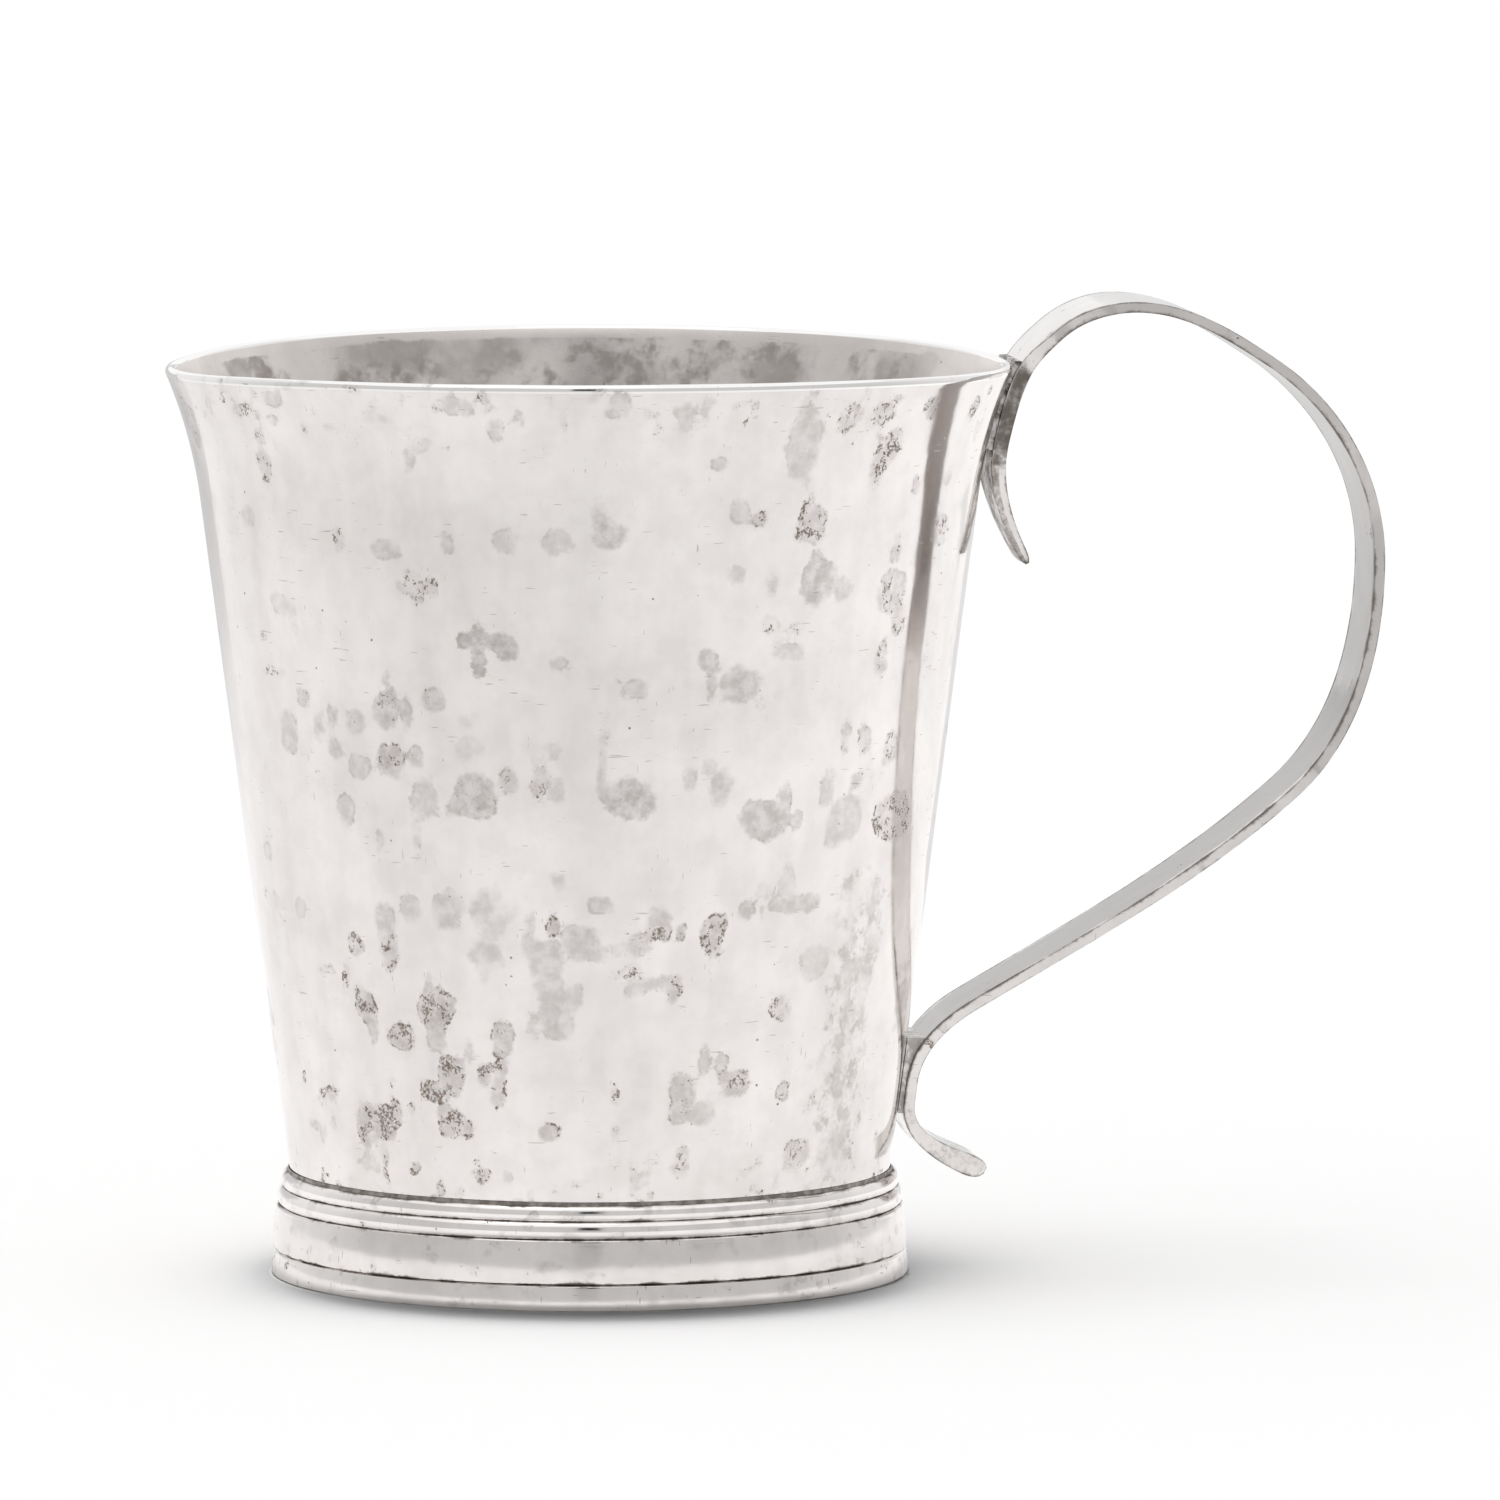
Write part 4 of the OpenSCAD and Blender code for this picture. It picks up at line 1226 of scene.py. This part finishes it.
@dataclass
class StrapHandle:
    """The forged strap, bent from a straight bar, and its two solder beds; in millimetres."""

    wall: CupWall
    thick: float = 1.15
    bevel: float = 0.24
    bevel_angle: float = 50.0
    crest_w: float = 16.5
    bow_w: float = 12.6
    upper_w: float = 11.2
    lower_w: float = 10.5
    rise: float = 5.6
    crest_out: float = 12.0
    reach: float = 38.5
    bow_drop: float = 21.5
    elbow_drop: float = 24.4
    elbow_in: float = 9.2
    neck_share: Point = (0.33, 0.59)
    shoulder_share: Point = (0.563, 0.226)
    heel_share: Point = (0.165, 0.277)
    upper_len: float = 8.4
    upper_film: float = 0.3
    lower_rise: float = 9.0
    lower_len: float = 2.0
    lower_film: float = 0.1
    upper_tail: Point = (3.1, -13.2)
    lower_tail: Point = (8.5, -7.7)
    upper_tip_w: float = 5.0
    lower_tip_w: float = 9.0
    upper_t: float = 1.6
    lower_tip_t: float = 2.4
    upper_tip_round: Point = (0.1, 0.108)
    lower_tip_round: Point = (0.6, 0.42)
    lower_edge_round: Point = (0.8, 0.21)
    pitch: float = 0.5
    columns: int = 9
    leg_steps: int = 60
    curve_steps: int = 64

    def seat(self, z: float, film: float, thick: float) -> Point:
        """Finds the middle line's place where the strap lies on the wall.

        Args:
            z: height on the wall.
            film: thickness of the solder between them.
            thick: the strap's thickness there.

        Returns:
            Its radius and height.
        """
        away, lean = film + thick / 2, self.wall.lean(z)
        return self.wall.radius(z) + away * math.cos(lean), z - away * math.sin(lean)

    @staticmethod
    def between(a: Point, b: Point, share: Point) -> Point:
        """Returns the point that lies at two shares of the way from a to b, across and up."""
        return a[0] + (b[0] - a[0]) * share[0], a[1] + (b[1] - a[1]) * share[1]

    def waypoints(self) -> list[Waypoint]:
        """Places the strap around the wall.

        Returns:
            Its waypoints, from the upper tail to the lower.
        """
        wall, t = self.wall, self.thick
        upper_low = wall.height - self.upper_len
        upper_high = wall.lip[1] - wall.lip_t / 2 * (1 + math.sin(math.radians(wall.lip_lean)))
        lower_high = wall.foot_h + self.lower_rise
        lower_low = lower_high - self.lower_len
        rim_r = wall.rim_d / 2
        crest = (rim_r + self.crest_out, wall.height + self.rise - t / 2)
        bow = (rim_r + self.reach - t / 2, wall.height - self.bow_drop)
        elbow = (bow[0] - self.elbow_in, bow[1] - self.elbow_drop)
        neck = self.between(self.seat(upper_high, self.upper_film, t), crest, self.neck_share)
        shoulder = self.between(crest, bow, self.shoulder_share)
        heel_seat = self.seat(lower_high, self.lower_film, t)
        heel = self.between(heel_seat, elbow, self.heel_share)
        arm = math.degrees(math.atan2(heel[1] - elbow[1], heel[0] - elbow[0]))
        down = -90 - math.degrees(wall.taper)
        upper_seat = self.seat(upper_low, self.upper_film, self.upper_t)
        lower_seat = self.seat(lower_low, self.lower_film, t)
        upper_tip = (upper_seat[0] + self.upper_tail[0], upper_seat[1] + self.upper_tail[1])
        lower_tip = (lower_seat[0] + self.lower_tail[0], lower_seat[1] + self.lower_tail[1])
        lip_seat = self.seat(upper_high, self.upper_film, self.upper_t)
        upper_lean, lip_lean = math.degrees(wall.lean(upper_low)), math.degrees(wall.lean(upper_high))
        return [
            Waypoint(*upper_tip, heading=119, width=self.upper_tip_w, thick=t),
            Waypoint(*upper_seat, heading=90 - upper_lean, width=self.upper_w, thick=self.upper_t),
            Waypoint(*lip_seat, heading=86 - lip_lean, width=self.upper_w, thick=self.upper_t),
            Waypoint(*neck, heading=41, width=(self.upper_w + self.crest_w) / 2, thick=t),
            Waypoint(*crest, heading=0, width=self.crest_w, thick=t),
            Waypoint(*shoulder, heading=-34, width=(self.crest_w + self.bow_w) / 2, thick=t),
            Waypoint(*bow, heading=-90, width=self.bow_w, thick=t),
            Waypoint(*elbow, heading=arm + 8, width=self.bow_w, thick=t),
            Waypoint(*heel, heading=arm - 3, width=(self.bow_w + self.lower_w) / 2, thick=t),
            Waypoint(*heel_seat, heading=down, width=self.lower_w, thick=t),
            Waypoint(*lower_seat, heading=down, width=self.lower_w, thick=t),
            Waypoint(*lower_tip, heading=-25, width=self.lower_tip_w, thick=self.lower_tip_t),
        ]

    @staticmethod
    def pulls(here: Waypoint, there: Waypoint) -> tuple[Point, Point]:
        """Bends the leg between two waypoints like an arc.

        Args:
            here: the first waypoint.
            there: the second waypoint.

        Returns:
            The leg's two inner control points.
        """
        turn = math.radians(abs(there.heading - here.heading))
        share = 1 / 3 if turn < 1e-4 else 2 / 3 * math.tan(turn / 4) / math.sin(turn / 2)
        pull = share * math.hypot(there.x - here.x, there.z - here.z)
        a, b = math.radians(here.heading), math.radians(there.heading)
        return (
            (here.x + pull * math.cos(a), here.z + pull * math.sin(a)),
            (there.x - pull * math.cos(b), there.z - pull * math.sin(b)),
        )

    def leg(self, here: Waypoint, there: Waypoint) -> list[Point]:
        """Draws the middle line between two waypoints.

        Args:
            here: the first waypoint.
            there: the second waypoint.

        Returns:
            Points along it, with both ends.
        """
        first, second = self.pulls(here, there)
        rows = ((here.x, first[0], second[0], there.x), (here.z, first[1], second[1], there.z))
        points = []
        for i in range(self.leg_steps + 1):
            t = i / self.leg_steps
            terms = ((1 - t) ** 3, 3 * t * (1 - t) ** 2, 3 * t * t * (1 - t), t ** 3)
            points.append(tuple(sum(k * v for k, v in zip(terms, row)) for row in rows))
        return points

    def path(self, points: Sequence[Waypoint]) -> bpy.types.Object:
        """Lays the strap's middle line out as a flat curve, in its own plane.

        Args:
            points: the strap's waypoints.

        Returns:
            The curve.
        """
        Bench.clear()
        bpy.ops.curve.primitive_bezier_curve_add()
        line = bpy.context.object
        line.data.dimensions = "2D"
        line.data.resolution_u = self.curve_steps
        spline = line.data.splines[0]
        spline.bezier_points.add(len(points) - 2)
        for knot, point in zip(spline.bezier_points, points):
            knot.handle_left_type = knot.handle_right_type = "FREE"
            knot.co = knot.handle_left = knot.handle_right = (point.x * MM, point.z * MM, 0)
        for number, (here, there) in enumerate(zip(points, points[1:])):
            first, second = self.pulls(here, there)
            spline.bezier_points[number].handle_right = (first[0] * MM, first[1] * MM, 0)
            spline.bezier_points[number + 1].handle_left = (second[0] * MM, second[1] * MM, 0)
        return line

    def leg_lengths(self, points: Sequence[Waypoint]) -> list[float]:
        """Measures the strap's legs.

        Args:
            points: the strap's waypoints.

        Returns:
            The length along the strap at each waypoint.
        """
        lengths = [0.0]
        for here, there in zip(points, points[1:]):
            line = self.leg(here, there)
            lengths.append(lengths[-1] + sum(math.dist(a, b) for a, b in zip(line, line[1:])))
        return lengths

    @staticmethod
    def rounded(past: float, reach: float) -> float:
        """Returns the share of a size that is left so far past the start of a rounded end."""
        return math.sqrt(1 - (max(0.0, past) / reach) ** 2)

    def stations(self, points: Sequence[Waypoint]) -> list[Station]:
        """Measures the strap along its middle line, and rounds its tips.

        Args:
            points: the strap's waypoints.

        Returns:
            Length, width and thickness along it, a pitch apart.
        """
        fine: list[Station] = []
        length, last = 0.0, (points[0].x, points[0].z)
        for number, (here, there) in enumerate(zip(points, points[1:])):
            for i, at in enumerate(self.leg(here, there)):
                if i == 0 and number > 0:
                    continue
                t = i / self.leg_steps
                length += math.dist(at, last)
                last = at
                ease = t * t * (3 - 2 * t)
                width = here.width + (there.width - here.width) * ease
                thick = here.thick + (there.thick - here.thick) * ease
                if number == 0:
                    thick *= self.rounded(self.upper_tip_round[0] - t, self.upper_tip_round[1])
                if number == len(points) - 2:
                    width *= self.rounded(t - self.lower_tip_round[0], self.lower_tip_round[1])
                    thick *= self.rounded(t - self.lower_edge_round[0], self.lower_edge_round[1])
                fine.append((length, width, thick))
        lengths, widths, thicks = np.array(fine).T
        wanted = np.linspace(0, length, round(length / self.pitch) + 1)
        return list(zip(wanted, np.interp(wanted, lengths, widths), np.interp(wanted, lengths, thicks)))

    def bar(self, stations: Sequence[Station]) -> bpy.types.Object:
        """Draws the strap out as a straight bar along X, its width along Z.

        Args:
            stations: length, width and thickness along it.

        Returns:
            The bar, with its edges rounded.
        """
        Bench.clear()
        bpy.ops.mesh.primitive_plane_add(size=1, rotation=(0, math.pi / 2, 0))
        piece = bpy.context.object
        piece.name = piece.data.name = "forged_strap"
        bpy.ops.object.transform_apply(location=True, rotation=True, scale=True)
        _, width, thick = stations[0]
        at = Bench.places(piece)
        Bench.edit(piece)
        bpy.ops.transform.resize(value=(1, thick * MM, width * MM))
        bpy.ops.mesh.select_mode(type="EDGE")
        bpy.ops.object.mode_set(mode="OBJECT")
        for edge in piece.data.edges:
            low, high = (at[i][2] for i in edge.vertices)
            edge.select = abs(low - high) > 1
        bpy.ops.object.mode_set(mode="EDIT")
        bpy.ops.mesh.subdivide(number_cuts=self.columns - 1)
        bpy.ops.mesh.select_mode(type="FACE")
        bpy.ops.mesh.select_all(action="SELECT")
        for here, there in zip(stations, stations[1:]):
            step = (there[0] - here[0]) * MM
            bpy.ops.mesh.extrude_region_move(TRANSFORM_OT_translate={"value": (step, 0, 0)})
            bpy.ops.transform.resize(
                value=(1, there[2] / here[2], there[1] / here[1]), center_override=(there[0] * MM, 0, 0)
            )
        bpy.ops.mesh.select_all(action="SELECT")
        bpy.ops.mesh.normals_make_consistent(inside=False)
        Bench.clear()
        Bench.apply(piece, "BEVEL", width=self.bevel * MM, segments=3, limit_method="ANGLE",
                    angle_limit=math.radians(self.bevel_angle))
        return piece

    def wear(self, piece: bpy.types.Object, stations: Sequence[Station], marks: StrapMarks) -> None:
        """Paints the straight bar, by length along it and place across it.

        Args:
            piece: the straight bar.
            stations: length, width and thickness along it.
            marks: lengths along it at which its wear changes.
        """
        at = Bench.places(piece)
        along, face, across = at[:, 0], at[:, 1], at[:, 2]
        wear = Wear(along, across)
        wear.stain(scatter(41, 90, (0, marks.end), (-8, 8), (0.12, 0.36), 1.0, (0.2, 0.55), (-0.5, 0.8)))
        lengths, widths, thicks = np.array(stations).T
        half, deep = np.interp(along, lengths, widths / 2), np.interp(along, lengths, thicks / 2)
        corner = np.hypot(np.abs(face) - deep, np.abs(across) - half)
        draw = random.Random(42)
        waves = sum(np.sin(along * k + draw.uniform(0, math.tau)) for k in (0.11, 0.23, 0.41, 0.83, 1.7))
        wear.soil(np.clip(0.9 + 0.12 * waves, 0.55, 1.0) * np.exp(-corner / np.where(face < 0, 0.28, 0.11)))
        wear.soil(0.34 * np.clip((along - marks.lower + 2) / 3, 0, 1))
        beyond = np.maximum(marks.upper_low - 2.5 - along, along - marks.upper_high)
        edge = np.abs(face) < deep - 0.05
        wear.soil(np.exp(-np.maximum(beyond, 0) / 1.2) * np.where(edge, 0.7, 0.35))
        tail = np.exp(-np.maximum(along - marks.upper_low, 0) / 1.5) * (face > 0)
        wear.soil(0.55 * tail)
        wear.soil(0.9 * np.exp(-along / 0.5))
        wear.paint(piece)
        # Tarnish and painted shade: the strap's side that faces into the loop is darkened from the upper tail
        # through the bow, fading out before the elbow.
        fade = np.clip((marks.elbow - along) / (marks.elbow - marks.bow) * 2.2 - 0.4, 0, 1)
        tarnish_and_shade = (face < 0.04 - deep) * fade * fade * (3 - 2 * fade)
        layer = piece.data.attributes.new(name="tarnish_and_shade", type="FLOAT", domain="POINT")
        layer.data.foreach_set("value", tarnish_and_shade.astype(np.float32))

    def build(self, silver: Finish, upper: Finish, lower: Finish) -> None:
        """Draws, paints and bends the strap, and dresses its joints.

        Args:
            silver: finish of the strap.
            upper: finish of the upper solder bed.
            lower: finish of the lower solder bed.
        """
        points = self.waypoints()
        stations = self.stations(points)
        piece = self.bar(stations)
        legs = self.leg_lengths(points)
        marks = StrapMarks(upper_low=legs[1], upper_high=legs[2], bow=legs[6], elbow=legs[7],
                           lower=legs[-2], end=legs[-1])
        self.wear(piece, stations, marks)
        Bench.planish(piece, 6, 0.07)
        line = self.path(points)
        Bench.apply(piece, "CURVE", object=line, deform_axis="POS_X")
        bpy.data.objects.remove(line)
        piece.rotation_euler = (math.pi / 2, 0, 0)
        Bench.pick(piece)
        bpy.ops.object.transform_apply(location=True, rotation=True, scale=True)
        Bench.smooth(piece, 40)
        settle(piece, "handle_strap", Slot.SILVER, silver)
        for node, solder in (("upper_handle_solder", upper), ("lower_handle_solder", lower)):
            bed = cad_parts[node]
            bed.data.materials.clear()
            bed.data.materials.append(solder)
            LOG.info("%s: dressed as it is", node)


@dataclass
class Studio:
    """The white table, the light over it, the grey room behind the camera, and the camera."""

    camera_at: tuple[float, float, float] = (-186.85, -1589.14, 211.2)
    aim: tuple[float, float, float] = (16.455, -2.108, 54.12)
    lens: float = 373.25
    sensor: float = 36.0
    ambient: float = 1.0
    refill: float = 1.9
    table: float = 0.94
    table_z: float = -0.00005
    mirrored_table: float = 0.6
    mirrored_lift: float = 0.4
    mirrored_slope: float = 0.6
    mirrored_least: float = 0.1
    mirrored_most: float = 0.43
    left_slope: float = 0.4
    left_back_shadow: float = 0.5
    stand_shade: float = 0.06
    room: float = 0.62
    room_back: float = 0.86
    back: float = 0.82
    back_left: float = 0.64
    back_low: float = 0.88
    back_high: float = 0.62
    sides: int = 180

    def camera(self) -> None:
        """Sets the camera at the picture's place and angle."""
        Bench.clear()
        bpy.ops.object.camera_add(location=[v * MM for v in self.camera_at])
        camera = bpy.context.object
        way = Vector(self.aim) - Vector(self.camera_at)
        camera.rotation_euler = way.to_track_quat("-Z", "Y").to_euler()
        camera.data.lens = self.lens
        camera.data.sensor_width = self.sensor
        camera.data.sensor_fit = "HORIZONTAL"
        camera.data.clip_end = 20
        bpy.context.scene.camera = camera

    @staticmethod
    def bounced(n: Nodes) -> Socket:
        """Returns 1 for rays that have touched the table, and 0 for others."""
        return n.math("GREATER_THAN", n.add("LightPath").outputs["Diffuse Depth"], 0.5)

    @staticmethod
    def direct(n: Nodes, *rays: str) -> Socket:
        """Picks out rays that come to the camera without touching the table.

        Args:
            n: the tree that asks.
            rays: the kinds of rays.

        Returns:
            1 for those rays, and 0 for others.
        """
        path = n.add("LightPath")
        shown: Source = 0.0
        for ray in rays:
            shown = n.most(shown, path.outputs[f"Is {ray} Ray"])
        return n.times(shown, n.math("LESS_THAN", path.outputs["Diffuse Depth"], 0.5))

    def world(self) -> None:
        """Makes the surroundings white; the light that the silver throws on the table is stronger."""
        world = bpy.data.worlds.new("white_room")
        bpy.context.scene.world = world
        world.use_nodes = True
        n = Nodes(world.node_tree)
        sky = n.add("Background")
        n.feed(sky.inputs["Color"], (1, 1, 1, 1))
        thrown = n.times(n.add("LightPath").outputs["Is Glossy Ray"], self.bounced(n))
        light = n.plus(n.times(thrown, self.refill - self.ambient), self.ambient)
        shown = self.direct(n, "Camera", "Glossy", "Transmission")
        n.feed(sky.inputs["Strength"], n.most(shown, light))
        n.feed(n.add("OutputWorld").inputs["Surface"], sky.outputs[0])

    def lifted(self, n: Nodes) -> Socket:
        """Makes the painted glow that the table shows only in the silver: lighter to the back, darker at the
        left, with a painted shadow behind at the left and one of the camera stand in front, and none of it by
        the foot, so the table is darker there.

        Args:
            n: the table's tree.

        Returns:
            How much lighter the table is there.
        """
        across, along, _ = n.facing()
        rise = n.plus(n.times(along, self.mirrored_slope), self.mirrored_lift)
        rise = n.plus(rise, n.times(n.least(across, 0.0), self.left_slope))
        # Painted shadow on the table behind the cup at the left, seen only in the silver.
        behind = n.times(n.most(along, 0.0), n.window(across, 0.0, -0.06))
        rise = n.minus(rise, n.times(behind, self.left_back_shadow))
        rise = n.least(n.most(rise, self.mirrored_least), self.mirrored_most)
        # Painted shadow of the camera stand on the table in front of the cup, seen only in the silver.
        stand = n.minus(1.0, n.window(n.math("ABSOLUTE", across), 0.008, 0.045))
        stand = n.times(stand, n.window(along, -0.04, -0.12))
        rise = n.minus(rise, n.times(stand, self.stand_shade))
        # The painted glow fades out near the foot.
        far = n.add("VectorMath", operation="LENGTH")
        n.feed(far.inputs[0], n.place())
        return n.times(rise, n.window(far.outputs["Value"], 0.02, 0.045))

    def floor(self) -> None:
        """Lays the pale table, which keeps the cup's shadow; in the silver it shows a darker colour with a
        painted glow of its own.
        """
        Bench.clear()
        bpy.ops.mesh.primitive_plane_add(size=9, location=(0, 0, self.table_z))
        table = bpy.context.object
        table.name = "white_table"
        made, n = new_finish("white_table")
        cloth, lift, both = n.add("BsdfDiffuse"), n.add("Emission"), n.add("AddShader")
        # Painted reflection: in the silver the table takes a darker colour and the painted glow.
        mirrored = self.direct(n, "Glossy")
        n.feed(cloth.inputs["Color"], n.blend(mirrored, (self.table,) * 3, (self.mirrored_table,) * 3))
        n.feed(lift.inputs["Strength"], n.times(mirrored, self.lifted(n)))
        n.feed(both.inputs[0], cloth.outputs[0])
        n.feed(both.inputs[1], lift.outputs[0])
        n.end(both.outputs[0])
        table.data.materials.append(made)

    def hang(self, card: bpy.types.Object, name: str, glow: float, back: float,
             fade: Optional[Point] = None) -> None:
        """Gives a card a glow that only reflections show; on the table it is as light as the room.

        Args:
            card: the card.
            name: its name.
            glow: how light it is at the front of the table.
            back: how light it is at the back.
            fade: heights on the card between which it turns white, or None.
        """
        card.name = name
        made, n = new_finish(name)
        glowing = n.add("Emission")
        _, along, up = n.facing()
        level: Source = glow
        if back != glow:
            level = n.plus(n.times(n.window(along, -0.12, 0.42), back - glow), glow)
        if fade:
            level = n.plus(n.times(n.window(up, *fade), 1 - glow), level)
        n.feed(glowing.inputs["Strength"], n.most(level, n.times(self.bounced(n), self.refill)))
        n.end(glowing.outputs[0])
        card.data.materials.append(made)
        card.visible_camera = card.visible_diffuse = card.visible_shadow = False

    def screen(self, name: str, bearing: float, half_turn: float, away: float, span: Point, glow: float,
               back: Optional[float] = None, soft: float = 0.0) -> None:
        """Hangs a round screen around the table.

        Args:
            name: the screen's name.
            bearing: direction of its middle from the cup, in degrees from the front.
            half_turn: how far it reaches to each side of that, in degrees.
            away: distance from the cup, in metres.
            span: heights of its lower and upper edge, in metres.
            glow: how light it is.
            back: how light it is at the back of the table, if that differs.
            soft: how far below its upper edge it begins to turn white, in metres; if negative, how
                far above its lower edge.
        """
        Bench.clear()
        tall = span[1] - span[0]
        bpy.ops.mesh.primitive_cylinder_add(
            vertices=self.sides, radius=away, depth=tall, end_fill_type="NOTHING",
            location=(0, 0, sum(span) / 2),
        )
        room = bpy.context.object
        bpy.ops.object.mode_set(mode="EDIT")
        bpy.ops.mesh.select_mode(type="FACE")
        bpy.ops.mesh.select_all(action="DESELECT")
        bpy.ops.object.mode_set(mode="OBJECT")
        for face in room.data.polygons:
            apart = math.degrees(math.atan2(face.center.y, face.center.x)) - FRONT - bearing
            face.select = abs((apart + 180) % 360 - 180) > half_turn
        bpy.ops.object.mode_set(mode="EDIT")
        bpy.ops.mesh.delete(type="FACE")
        bpy.ops.object.mode_set(mode="OBJECT")
        edge = math.copysign(tall / 2, soft)
        self.hang(room, name, glow, glow if back is None else back, (edge - soft, edge) if soft else None)

    def card(self, name: str, bearing: float, height: float, away: float, size: Point, glow: float) -> None:
        """Stands a flat card around the cup.

        Args:
            name: the card's name.
            bearing: direction from the cup, in degrees from the front.
            height: height of its middle above the table, in metres.
            away: distance from the cup, in metres.
            size: width and height, in metres.
            glow: how light it is.
        """
        Bench.clear()
        angle = math.radians(FRONT + bearing)
        middle = (away * math.cos(angle), away * math.sin(angle), height)
        bpy.ops.mesh.primitive_plane_add(size=1, location=middle)
        card = bpy.context.object
        card.scale = (size[0], size[1], 1)
        card.rotation_euler = (math.pi / 2, 0, angle + math.pi / 2)
        self.hang(card, name, glow, glow)

    def flag(self, name: str, away: float, span: Point, bearing: float, shift: float,
             closed: bool = False) -> None:
        """Stands a low black ring or disc at the foot, which only shades the table beside it.

        Args:
            name: the flag's name.
            away: its radius, in metres.
            span: heights of its lower and upper edge, in metres.
            bearing: direction in which it stands off the cup's axis, in degrees from the front.
            shift: how far it stands off the axis, in metres.
            closed: whether it has a bottom and a top.
        """
        Bench.clear()
        side = math.radians(FRONT + bearing)
        bpy.ops.mesh.primitive_cylinder_add(
            vertices=self.sides, radius=away, depth=span[1] - span[0],
            end_fill_type="NGON" if closed else "NOTHING",
            location=(shift * math.cos(side), shift * math.sin(side), sum(span) / 2),
        )
        ring = bpy.context.object
        ring.name = name
        made, n = new_finish(name)
        black = n.add("BsdfDiffuse")
        n.feed(black.inputs["Color"], (0, 0, 0, 1))
        n.end(black.outputs[0])
        ring.data.materials.append(made)
        ring.visible_camera = ring.visible_glossy = False

    def light(self, name: str, bearing: float, rise: float, spread: float, strength: float) -> None:
        """Hangs a big soft light, the same over the whole table.

        Args:
            name: the light's name.
            bearing: its direction from the cup, in degrees from the front.
            rise: its angle above the table, in degrees.
            spread: how wide it looks from the cup, in degrees.
            strength: its strength on a surface that faces it.
        """
        Bench.clear()
        angle, up = math.radians(FRONT + bearing), math.radians(rise)
        way = Vector((math.cos(angle) * math.cos(up), math.sin(angle) * math.cos(up), math.sin(up)))
        bpy.ops.object.light_add(type="SUN", location=way)
        lamp = bpy.context.object
        lamp.name = name
        lamp.rotation_euler = (-way).to_track_quat("-Z", "Y").to_euler()
        lamp.data.angle = math.radians(spread)
        lamp.data.energy = strength

    def build(self) -> None:
        """Sets up the whole studio."""
        self.camera()
        self.world()
        self.floor()
        self.screen("grey_room", bearing=0, half_turn=150, away=0.52, span=(0.0, 0.6),
                    glow=self.room, back=self.room_back)
        self.screen("back_left", bearing=201.5, half_turn=15.5, away=0.3, span=(0.0, 0.115),
                    glow=self.back_left, soft=-0.05)
        self.screen("back_low", bearing=179, half_turn=7, away=0.3, span=(0.0, 0.07), glow=self.back_low)
        self.screen("back_high", bearing=179, half_turn=7, away=0.3, span=(0.07, 0.125),
                    glow=self.back_high, soft=0.02)
        self.screen("back_right", bearing=164, half_turn=8, away=0.3, span=(0.0, 0.16),
                    glow=self.back, soft=0.045)
        self.card("stand", bearing=0, height=0.075, away=0.49, size=(0.063, 0.15), glow=0.52)
        self.card("camera_box", bearing=0, height=0.3, away=0.49, size=(0.063, 0.3), glow=0.02)
        self.flag("shade_ring", away=0.0331, span=(0.0001, 0.0053), bearing=0, shift=0)
        self.flag("shade_right", away=0.0325, span=(0.0001, 0.013), bearing=60, shift=0.0009)
        self.flag("shade_front", away=0.0325, span=(0.0052, 0.0056), bearing=5, shift=0.008, closed=True)
        self.light("overhead", bearing=-90, rise=83, spread=32, strength=0.22)
        bpy.context.scene.view_settings.view_transform = "Standard"


def main() -> None:
    """Builds the cup piece by piece, then the studio."""
    logging.basicConfig(level=logging.INFO, format="%(relativeCreated)d %(name)s: %(message)s")
    silver = AgedSilver("aged_silver").material()
    dull = AgedSilver("dull_inside", light=(0.85, 0.805, 0.776), dull=(0.7, 0.656, 0.63),
                      stain=(0.52, 0.482, 0.463), rough=0.24, coarse=4.5, mottled=0.35).material()
    bright = AgedSilver("bright_lip", light=(0.97, 0.955, 0.945), dull=(0.88, 0.85, 0.835),
                        rough=0.06, haze=0.35).material()
    reeds = AgedSilver("bright_reeds", light=(0.97, 0.935, 0.918), dull=(0.82, 0.785, 0.768),
                       rough=0.08, relief=1.5).material()
    satin = AgedSilver("satin_foot", rough=0.11, scratches=1.5, relief=1.8).material()
    # The strap's finish darkens the side that faces into the loop with tarnish and painted shade.
    worn = AgedSilver("worn_strap", light=(0.82, 0.785, 0.765), dull=(0.64, 0.605, 0.585), haze=0.8,
                      tarnish_and_shade=(0.38, 0.356, 0.34)).material()
    solder = OldSolder("old_solder", light=(0.4, 0.37, 0.345), dark=(0.24, 0.215, 0.195)).material()
    dark_solder = OldSolder("dark_solder", light=(0.7, 0.67, 0.65), dark=(0.12, 0.105, 0.09)).material()
    pale_solder = OldSolder("pale_solder", light=(0.85, 0.825, 0.81), dark=(0.55, 0.525, 0.51)).material()
    wall = CupWall()
    wall.build(silver, dull, bright)
    CupFloor(wall).build(dull, solder)
    ReededFoot(wall).build(reeds, satin, solder)
    StrapHandle(wall).build(worn, dark_solder, pale_solder)
    Studio().build()


if __name__ == "__main__":
    main()
